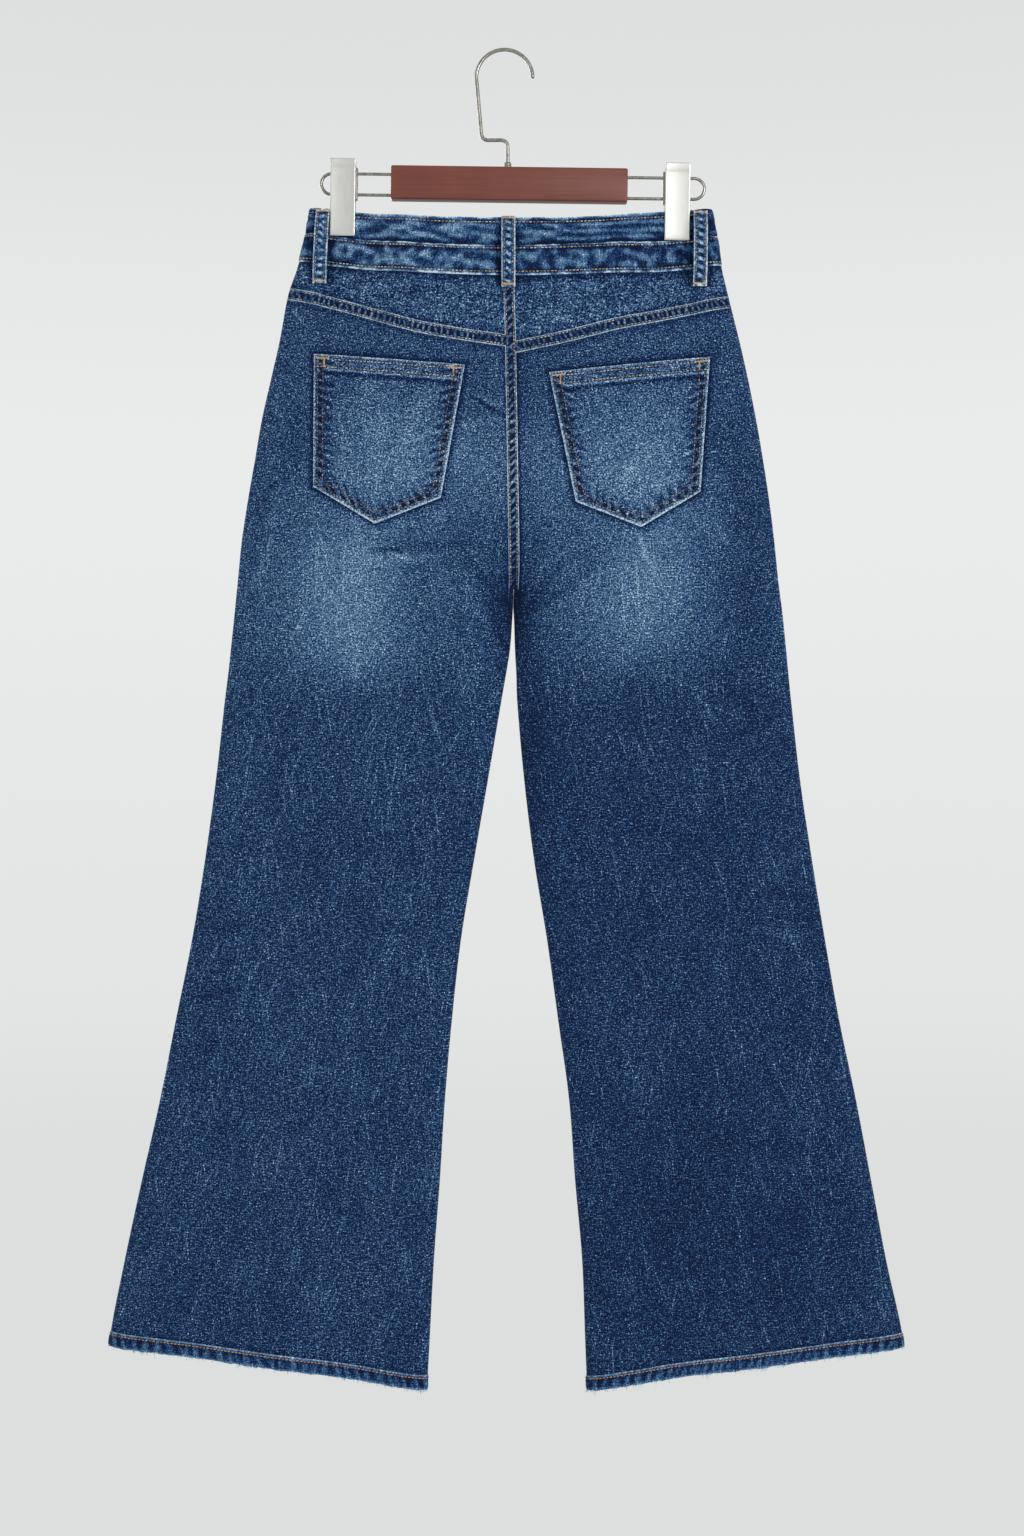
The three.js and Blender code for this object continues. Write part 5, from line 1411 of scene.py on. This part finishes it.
for side in ("left", "right"):
    mouth_x = LEVELS[side + "_out"][2] - SIGN[side] * np.linspace(3, SCOOP_WIDTH - 3, 120)
    mouth = np.stack([mouth_x, scoop_line(side, mouth_x)], axis=-1)
    for row in MOUTH_ROWS:
        path, _ = walk(beside(mouth, SIGN[side] * row), 1.0)
        sew_row("front_seams", *line_on("front", path, on_leg))
for z in FLY_TACKS:
    points, outward = line_on("front", np.array([(CENTRE - 6, z), (CENTRE + 2, z + 1)]), fly_out)
    add_bartack("bartacks", points[0], points[1], outward[0])


# Zip: woven cotton tape with brass teeth, closed behind the fly, and its brass slider at
# the top. It is seen only from inside the waist.
ZIP_TOP = -212
ZIP_FOOT = -336
TOOTH_PITCH = 1.6
TOOTH_SIZE = (1.9, 1.1, 0.8)
TOOTH_SHIFT = 0.6
TOOTH_OUT = -3.0
TEETH_END = (16, 4)

# The least angle, in degrees, that stays a sharp edge on the hard pieces
HARD_EDGE = 40

# Woven navy cotton tape, with a fine ribbed weave
tape_cloth, tape_tree, tape_shader = new_material("woven_zip_tape", Roughness=0.8)
tape_weave = add_node(tape_tree, "ShaderNodeTexWave", {"Scale": 260.0, "Distortion": 0.4},
                      bands_direction="Z")
tape_ramp = add_node(tape_tree, "ShaderNodeValToRGB", links={"Fac": tape_weave.outputs["Fac"]})
tape_ramp.color_ramp.elements[0].color = linear("#131d31")
tape_ramp.color_ramp.elements[1].color = linear("#26344e")
tape_tree.links.new(tape_ramp.outputs["Color"], tape_shader.inputs["Base Color"])
tape_bump = add_node(tape_tree, "ShaderNodeBump", {"Strength": 0.4, "Distance": 0.0004},
                     {"Height": tape_weave.outputs["Fac"]})
tape_tree.links.new(tape_bump.outputs["Normal"], tape_shader.inputs["Normal"])


def metal(name, dark, light, roughness, grain_mm, stretch=(1, 1, 1), bump=0.12):
    """Plated metal: a slightly uneven colour and a fine directional finish."""
    material, tree, shader = new_material(name, Metallic=1.0, Roughness=roughness)
    place_in = add_node(tree, "ShaderNodeTexCoord")
    scaled = add_node(tree, "ShaderNodeMapping", {"Scale": tuple(1 / (grain_mm * MM * s) for s in stretch)},
                      {"Vector": place_in.outputs["Object"]})
    mottle = add_node(tree, "ShaderNodeTexNoise", {"Scale": 1.0, "Detail": 3.0},
                      {"Vector": scaled.outputs["Vector"]})
    ramp = add_node(tree, "ShaderNodeValToRGB", links={"Fac": mottle.outputs["Fac"]})
    ramp.color_ramp.elements[0].position = 0.3
    ramp.color_ramp.elements[0].color = linear(dark)
    ramp.color_ramp.elements[1].position = 0.7
    ramp.color_ramp.elements[1].color = linear(light)
    tree.links.new(ramp.outputs["Color"], shader.inputs["Base Color"])
    rough = add_node(tree, "ShaderNodeMapRange", {"To Min": roughness - 0.07, "To Max": roughness + 0.07},
                     {"Value": mottle.outputs["Fac"]})
    tree.links.new(rough.outputs[0], shader.inputs["Roughness"])
    relief_node = add_node(tree, "ShaderNodeBump", {"Strength": bump, "Distance": 0.0002},
                           {"Height": mottle.outputs["Fac"]})
    tree.links.new(relief_node.outputs["Normal"], shader.inputs["Normal"])
    return material


# Antique brass: dull, mottled between brown and paler patches
antique_brass = metal("antique_brass", "#6d5630", "#b3935a", roughness=0.38, grain_mm=1.6)

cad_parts["zip_tape"].data.materials.clear()
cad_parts["zip_tape"].data.materials.append(tape_cloth)

teeth = []
for number, z in enumerate(np.arange(ZIP_TOP - TEETH_END[0], ZIP_FOOT + TEETH_END[1], -TOOTH_PITCH / 2)):
    shift = TOOTH_SHIFT if number % 2 else -TOOTH_SHIFT
    middle = on_cloth("front", CENTRE + shift, z, TOOTH_OUT)
    corners = np.array([(a, b, c) for a in (-1, 1) for b in (-1, 1) for c in (-1, 1)]) * 0.5
    teeth.append(middle + corners * np.array(TOOTH_SIZE))
CUBE = np.array([(0, 1, 3, 2), (4, 6, 7, 5), (0, 4, 5, 1), (2, 3, 7, 6), (0, 2, 6, 4), (1, 5, 7, 3)])
faces = np.concatenate([CUBE + 8 * i for i in range(len(teeth))]).tolist()
zip_teeth = finish_mesh("zip_teeth", np.concatenate(teeth), faces, sharp_degrees=30)
zip_teeth.data.materials.append(antique_brass)
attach(zip_teeth, "root")


def ride_as(piece, node, material):
    """Fixes a hard piece to the one body, in place of its CAD node, with its finish."""
    piece.data.materials.append(material)
    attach(piece, "root")
    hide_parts(node)


def end_faces(rings, sides):
    """The faces that close the first and the last ring of points."""
    return [tuple(range(sides))[::-1], tuple((rings - 1) * sides + i for i in range(sides))]


def lathe(name, profile, sides, origin, axis):
    """A turned piece: profile rows of radius and height, round an axis through the origin."""
    axis = np.asarray(axis, float) / np.linalg.norm(axis)
    first = np.cross(axis, (0, 0, 1) if abs(axis[2]) < 0.9 else (1, 0, 0))
    first /= np.linalg.norm(first)
    second = np.cross(axis, first)
    angle = 2 * math.pi * np.arange(sides) / sides
    points = [np.asarray(origin) + axis * h + r * (math.cos(a) * first + math.sin(a) * second)
              for r, h in profile for a in angle]
    faces = ring_faces(len(profile), sides)
    if profile[0] != profile[-1]:
        faces += end_faces(len(profile), sides)
    else:
        points, last = points[:-sides], (len(profile) - 1) * sides
        faces = [tuple(k % last for k in face) for face in faces]
    return finish_mesh(name, points, faces, HARD_EDGE)


SLIDER_SIZE = (9, 3, 13)
SLIDER_SIDES = 48
SLIDER_SQUARING = 0.7
SLIDER_RINGS = [(-0.5, 0.84), (-0.42, 0.96), (-0.3, 1), (0.3, 1), (0.42, 0.96), (0.5, 0.84)]
slider_low, slider_high = (np.array(c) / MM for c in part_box("zip_slider"))
slider_middle = (slider_low + slider_high) / 2


def squared_off(value):
    """Turns the sine or cosine of a circle into that of a rounded rectangle."""
    return np.sign(value) * np.abs(value)**SLIDER_SQUARING


outline_angles = np.linspace(0, 2 * math.pi, SLIDER_SIDES, endpoint=False)
outline_wide = np.where(np.sin(outline_angles) > 0, SLIDER_SIZE[0] / 2, SLIDER_SIZE[0] / 3)
slider_rings = []
for depth, scale in SLIDER_RINGS:
    ring_x = outline_wide * scale * squared_off(np.cos(outline_angles))
    ring_z = SLIDER_SIZE[2] / 2 * scale * squared_off(np.sin(outline_angles))
    ring_y = np.full(SLIDER_SIDES, depth * SLIDER_SIZE[1])
    slider_rings.append(np.stack([ring_x, ring_y, ring_z], axis=-1) + slider_middle)
slider_faces = ring_faces(len(SLIDER_RINGS), SLIDER_SIDES) + end_faces(len(SLIDER_RINGS), SLIDER_SIDES)
ride_as(finish_mesh("zip_slider_body", np.concatenate(slider_rings), slider_faces, HARD_EDGE),
        "zip_slider", antique_brass)


# Buttons: brass tack buttons with a rolled rim and a dished face, one riveted through each
# waistband at the lap. Plain.
BUTTON_PROFILE = [
    (0.01, 0), (3.2, 0), (3.2, 0.9), (7.6, 1.0), (8.3, 1.3), (8.5, 1.9), (8.4, 2.6), (8.0, 3.2), (7.3, 3.4),
    (6.7, 3.2), (6.3, 2.8), (5.9, 2.6), (4.0, 2.7), (2.2, 2.9), (1.9, 3.1), (1.2, 3.2), (0.01, 3.2),
]
for button in ("upper", "lower"):
    low, high = (np.array(c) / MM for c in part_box(f"button_{button}"))
    seat = ((low[0] + high[0]) / 2, low[1], (low[2] + high[2]) / 2)
    turned = lathe(f"tack_button_{button}", BUTTON_PROFILE, sides=56, origin=seat, axis=(0, 1, 0))
    ride_as(turned, f"button_{button}", antique_brass)


# Topstitching: tan and orange polyester thread, two or three strands thick, which the wash
# has faded unevenly. Bartacks are the same thread, and the hems fray in white and blue.
def thread_material(name, dark, middle, light, roughness):
    """Matt twisted thread, whose tone varies from stitch to stitch."""
    material, tree, shader = new_material(name, Roughness=roughness)
    shader.inputs["Specular IOR Level"].default_value = 0.3
    tone = add_node(tree, "ShaderNodeAttribute", attribute_name="tone")
    place_in = add_node(tree, "ShaderNodeTexCoord")
    strands = add_node(tree, "ShaderNodeTexNoise", {"Scale": 2200.0, "Detail": 1.0},
                       {"Vector": place_in.outputs["Object"]})
    mixed = add_node(tree, "ShaderNodeMath", {1: 0.5}, {0: strands.outputs["Fac"], 2: tone.outputs["Fac"]},
                     operation="MULTIPLY_ADD")
    ramp = add_node(tree, "ShaderNodeValToRGB", links={"Fac": mixed.outputs[0]})
    ramp.color_ramp.elements[0].position = 0.25
    ramp.color_ramp.elements[0].color = linear(dark)
    ramp.color_ramp.elements[1].position = 1.0
    ramp.color_ramp.elements[1].color = linear(light)
    ramp.color_ramp.elements.new(0.6).color = linear(middle)
    tree.links.new(ramp.outputs["Color"], shader.inputs["Base Color"])
    bump = add_node(tree, "ShaderNodeBump", {"Strength": 0.5, "Distance": 0.0002},
                    {"Height": strands.outputs["Fac"]})
    tree.links.new(bump.outputs["Normal"], shader.inputs["Normal"])
    return material


tan_thread = thread_material("faded_polyester_topstitch_thread", "#35332f", "#85735a", "#cfc2a4", 0.6)
tack_thread = thread_material("orange_bartack_thread", "#8d6639", "#c2935a", "#dfc192", 0.55)
hem_thread = thread_material("orange_hem_thread", "#5f452c", "#a9743f", "#c9975f", 0.6)
fray_cotton = thread_material("frayed_cotton", "#6f8cab", "#9db4c9", "#d5dfe7", 0.85)
special_threads = {"bartacks": tack_thread, "hems": hem_thread, "frays": fray_cotton}
THREAD_RINGS = 4
for group, batches in sewn.items():
    points = np.concatenate([b[0] for b in batches])
    tones = np.concatenate([b[1] for b in batches])
    per_thread = THREAD_RINGS * THREAD_SIDES
    shifts = per_thread * np.arange(len(points))[:, None, None]
    faces = (np.array(ring_faces(THREAD_RINGS, THREAD_SIDES)) + shifts).reshape(-1, 4).tolist()
    faces += (np.array(end_faces(THREAD_RINGS, THREAD_SIDES)) + shifts).reshape(-1, THREAD_SIDES).tolist()
    piece = finish_mesh(f"thread_{group}", points.reshape(-1, 3), faces, sharp_degrees=80,
                        tone=np.repeat(tones, per_thread))
    piece.data.materials.append(special_threads.get(group, tan_thread))
    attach(piece, "root")


# Hanger bar: a flat beech batten with eased edges, stained red-brown under satin lacquer,
# so the grain shows as fine streaks along it. It tilts a little down to the right.
BAR_PLACE = (4.2, -117.4)
BAR_TILT = 0.0135
BAR_SIZE = (208, 14, 29.6)
BAR_EASING = 1.6


def hang(points):
    """Turns points from the bar's own frame, in mm, to the garment's."""
    points = np.asarray(points, float)
    x = BAR_PLACE[0] + points[..., 0] * math.cos(BAR_TILT) + points[..., 2] * math.sin(BAR_TILT)
    z = BAR_PLACE[1] - points[..., 0] * math.sin(BAR_TILT) + points[..., 2] * math.cos(BAR_TILT)
    return np.stack([x, points[..., 1], z], axis=-1)


def eased_block(name, size, easing, middle=(0, 0, 0), segments=3):
    """A block with rounded edges, in the bar's frame."""
    block = bpy.data.meshes.new(name)
    corners = np.array([(a, b, c) for a in (-0.5, 0.5) for b in (-0.5, 0.5) for c in (-0.5, 0.5)])
    block.from_pydata((hang(corners * size + middle) * MM).tolist(), [], CUBE.tolist())
    block.update()
    made = bpy.data.objects.new(name, block)
    scene.collection.objects.link(made)
    bevel = made.modifiers.new("eased_edges", "BEVEL")
    bevel.width = easing * MM
    bevel.segments = segments
    bevel.limit_method = "NONE"
    with bpy.context.temp_override(object=made, active_object=made, selected_objects=[made]):
        bpy.ops.object.modifier_apply(modifier=bevel.name)
    made.data.shade_smooth()
    made.data.set_sharp_from_angle(angle=math.radians(30))
    return made


# Beech stained red-brown under satin lacquer, with its grain as fine streaks along the bar
stained_beech, wood_tree, wood_shader = new_material("stained_lacquered_beech", Roughness=0.42)
wood_shader.inputs["Coat Weight"].default_value = 0.08
wood_shader.inputs["Specular IOR Level"].default_value = 0.3
wood_shader.inputs["Coat Roughness"].default_value = 0.3
wood_place = add_node(wood_tree, "ShaderNodeTexCoord")
wood_scaled = add_node(wood_tree, "ShaderNodeMapping", {"Scale": (14, 500, 700)},
                       {"Vector": wood_place.outputs["Object"]})
wood_grain = add_node(wood_tree, "ShaderNodeTexNoise", {"Scale": 1.0, "Detail": 5.0, "Distortion": 0.4},
                      {"Vector": wood_scaled.outputs["Vector"]})
wood_clouds = add_node(wood_tree, "ShaderNodeTexNoise", {"Scale": 34.0, "Detail": 2.0},
                       {"Vector": wood_place.outputs["Object"]})
wood_mix = add_node(wood_tree, "ShaderNodeMath", {1: 0.35},
                    {0: wood_clouds.outputs["Fac"], 2: wood_grain.outputs["Fac"]}, operation="MULTIPLY_ADD")
wood_ramp = add_node(wood_tree, "ShaderNodeValToRGB", links={"Fac": wood_mix.outputs[0]})
wood_ramp.color_ramp.elements[0].position = 0.42
wood_ramp.color_ramp.elements[0].color = linear("#65342a")
wood_ramp.color_ramp.elements[1].position = 0.92
wood_ramp.color_ramp.elements[1].color = linear("#774134")
wood_tree.links.new(wood_ramp.outputs["Color"], wood_shader.inputs["Base Color"])
wood_bump = add_node(wood_tree, "ShaderNodeBump", {"Strength": 0.25, "Distance": 0.0003},
                     {"Height": wood_grain.outputs["Fac"]})
wood_tree.links.new(wood_bump.outputs["Normal"], wood_shader.inputs["Normal"])
ride_as(eased_block("hanger_batten", BAR_SIZE, BAR_EASING), "hanger_bar", stained_beech)


# Hook and wire loops: steel wire, bent cold and nickel plated, with a soft satin sheen.
# The hook stands in a turned ferrule on the bar, and each loop carries a sliding clip.
HOOK_RADIUS = 24.8
HOOK_WIRE = 1.65
HOOK_ANGLES = (-0.03, 3.34)
SHANK = [(-20.3, -73.5), (-19.2, -78.1), (-14, -78.1), (-3.5, -78), (2.4, -78), (2.8, -84), (2.8, -112)]
WIRE_RADIUS = 1.4
WIRE_LEVELS = (7.85, -10.55)
WIRE_SEAT = 12
WIRE_ENDS = {"left": -165.3, "right": 171.7}
WIRE_SIDES = 18
WIRE_TIP_ANGLES = (0.15, 0.5, 0.9, 1.25)

# Nickel-plated steel wire: satin, warm grey
satin_nickel = metal("satin_nickel_wire", "#77756e", "#a3a199", roughness=0.3, grain_mm=2.2)


def quadratic(start, control, end, steps=8):
    """Points on a bend that leaves the start and meets the end along its control's arms."""
    t = np.linspace(0, 1, steps)[:, None]
    return (1 - t)**2 * np.array(start) + 2 * t * (1 - t) * np.array(control) + t**2 * np.array(end)


def wire(path, radius):
    """A round wire with rounded ends along a line of x and z."""
    path = np.asarray(path, float)
    keep = np.concatenate([[True], np.linalg.norm(np.diff(path, axis=0), axis=-1) > 1e-6])
    path = path[keep]
    run = np.gradient(path, axis=0)
    run /= np.linalg.norm(run, axis=-1, keepdims=True)
    rings = [(path[0] + run[0] * radius * (1 - math.cos(a)), run[0], math.sin(a))
             for a in WIRE_TIP_ANGLES]
    rings += [(p, r, 1.0) for p, r in zip(path[1:-1], run[1:-1])]
    rings += [(path[-1] - run[-1] * radius * (1 - math.cos(a)), run[-1], math.sin(a))
              for a in WIRE_TIP_ANGLES[::-1]]
    angle = 2 * math.pi * np.arange(WIRE_SIDES) / WIRE_SIDES
    points = []
    for (x, z), (run_x, run_z), scale in rings:
        aside = radius * scale * np.cos(angle)
        ring_y = radius * scale * np.sin(angle)
        points.append(np.stack([x - run_z * aside, ring_y, z + run_x * aside], axis=-1))
    return np.concatenate(points), ring_faces(len(points), WIRE_SIDES) + end_faces(len(points), WIRE_SIDES)


arc_angles = np.linspace(*HOOK_ANGLES, 72)
arc = np.stack([HOOK_RADIUS * np.cos(arc_angles),
                HOOK_WIRE - HOOK_RADIUS + HOOK_RADIUS * np.sin(arc_angles)], axis=-1)
hook_path = np.vstack([
    arc, np.linspace(arc[-1], SHANK[0], 12)[1:], quadratic(*SHANK[:3])[1:],
    np.linspace(SHANK[2], SHANK[3], 4)[1:], quadratic(*SHANK[3:6])[1:],
    np.linspace(SHANK[5], SHANK[6], 8)[1:]])
hook_points, hook_faces = wire(hook_path, HOOK_WIRE)
ride_as(finish_mesh("hanger_hook_wire", hook_points, hook_faces, HARD_EDGE), "hanger_hook",
        satin_nickel)

ferrule_low, ferrule_high = (np.array(c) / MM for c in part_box("hook_ferrule"))
FERRULE_PROFILE = [
    (1.95, 0), (3.1, 0), (3.3, 0.25), (3.3, 1.4), (3.05, 1.7), (3.3, 2.1), (3.25, 3.2), (2.9, 4.2),
    (2.4, 4.8), (1.95, 5), (1.95, 0),
]
ferrule_seat = ((ferrule_low[0] + ferrule_high[0]) / 2, 0, ferrule_low[2])
ferrule = lathe("hook_ferrule_turned", FERRULE_PROFILE, sides=40, origin=ferrule_seat, axis=(0, 0, 1))
ride_as(ferrule, "hook_ferrule", satin_nickel)

for side in ("left", "right"):
    high, low = WIRE_LEVELS
    radius, middle = (high - low) / 2, (high + low) / 2
    start = SIGN[side] * (BAR_SIZE[0] / 2 - WIRE_SEAT)
    straight = WIRE_ENDS[side] - SIGN[side] * radius
    bend = np.linspace(0, math.pi, 30)
    turn = np.stack([straight + SIGN[side] * radius * np.sin(bend), middle + radius * np.cos(bend)], axis=-1)
    loop_path = np.vstack([np.linspace((start, high), turn[0], 10)[:-1], turn,
                           np.linspace(turn[-1], (start, low), 10)[1:]])
    loop_points, loop_faces = wire(loop_path, WIRE_RADIUS)
    ride_as(finish_mesh(f"hanger_loop_{side}", hang(loop_points), loop_faces, HARD_EDGE),
            f"hanger_wire_{side}", satin_nickel)


# Clips: two pressed plates with turned-in edges, hinged on a block that slides on the wire
# loop. Nickel plated and brushed lengthways, with the upper ends splayed for the thumb.
CLIP_WIDTH = 22.2
CLIP_TOP = 20.4
CLIP_FOOT = -47.4
CLIP_SHEET = 1.2
CLIP_INSIDE = 3.45
CLIP_SPLAY = 1.6
SPLAY_FROM = 12
CLIP_EASING = 0.55
CLIP_EDGE = table("inward dip", (0, CLIP_EASING), (0.12, 0.24), (0.4, 0.05), (1.0, 0), (1.5, 0.07))
CLIP_PLACES = {"left": -146.2, "right": 148}
SLIDER_WIDTH = 17
SLIDER_TAB = 1.8
SLIDER_SPAN = (-15.6, 12.9)
SLIDER_DEPTH = 6.1
SLIDER_EASING = 0.7

# Nickel plate, brushed lengthways on the clips, and darker on the blocks behind them
brushed_clip = metal("brushed_nickel_clip", "#c6c6c1", "#cdcdc8", roughness=0.42, grain_mm=0.8,
                     stretch=(1, 1, 14), bump=0.06)
dark_slider = metal("nickel_slider_block", "#6d6a63", "#8c897f", roughness=0.36, grain_mm=1.5)


def clip_plate(name, side, face):
    """A pressed plate: its profile runs down the plate, with edges rounded across."""
    levels = [CLIP_FOOT, CLIP_FOOT + 0.5, CLIP_FOOT + 1.5, *np.linspace(CLIP_FOOT + 6, SPLAY_FROM, 10),
              SPLAY_FROM + 1, CLIP_TOP - 1.2, CLIP_TOP - 0.4, CLIP_TOP]
    half = CLIP_WIDTH / 2
    across_plate = np.concatenate([-half + CLIP_EDGE["inward"], [0], half - CLIP_EDGE["inward"][::-1]])
    dip = np.interp(half - np.abs(across_plate), CLIP_EDGE["inward"], CLIP_EDGE["dip"])
    outer, inner = [], []
    for x, low in zip(across_plate, dip):
        for z in levels:
            splay = CLIP_SPLAY * max(z - SPLAY_FROM, 0) / (CLIP_TOP - SPLAY_FROM)
            end = CLIP_EASING * (1 - smooth(np.minimum(z - CLIP_FOOT, CLIP_TOP - z), 0, 1.0))
            y = CLIP_INSIDE + CLIP_SHEET + splay
            outer.append((x, SIGN[face] * (y - max(low, end)), z))
            inner.append((x, SIGN[face] * (CLIP_INSIDE + splay), z))
    points = hang(np.array(outer + inner) + (CLIP_PLACES[side], 0, 0))
    return finish_mesh(name, points, grid_faces(len(across_plate), len(levels)), HARD_EDGE)


for side in ("left", "right"):
    for face in ("back", "front"):
        ride_as(clip_plate(f"hanger_clip_{side}_{face}", side, face), f"clip_{side}_{face}",
                brushed_clip)
    inward = -SIGN[side]
    block_x = CLIP_PLACES[side] + inward * (CLIP_WIDTH / 2 - SLIDER_WIDTH / 2 + SLIDER_TAB / 2)
    block_size = (SLIDER_WIDTH + SLIDER_TAB, SLIDER_DEPTH, SLIDER_SPAN[1] - SLIDER_SPAN[0])
    block_middle = (block_x, 0, sum(SLIDER_SPAN) / 2)
    ride_as(eased_block(f"hanger_clip_block_{side}", block_size, SLIDER_EASING, block_middle),
            f"clip_slider_{side}", dark_slider)
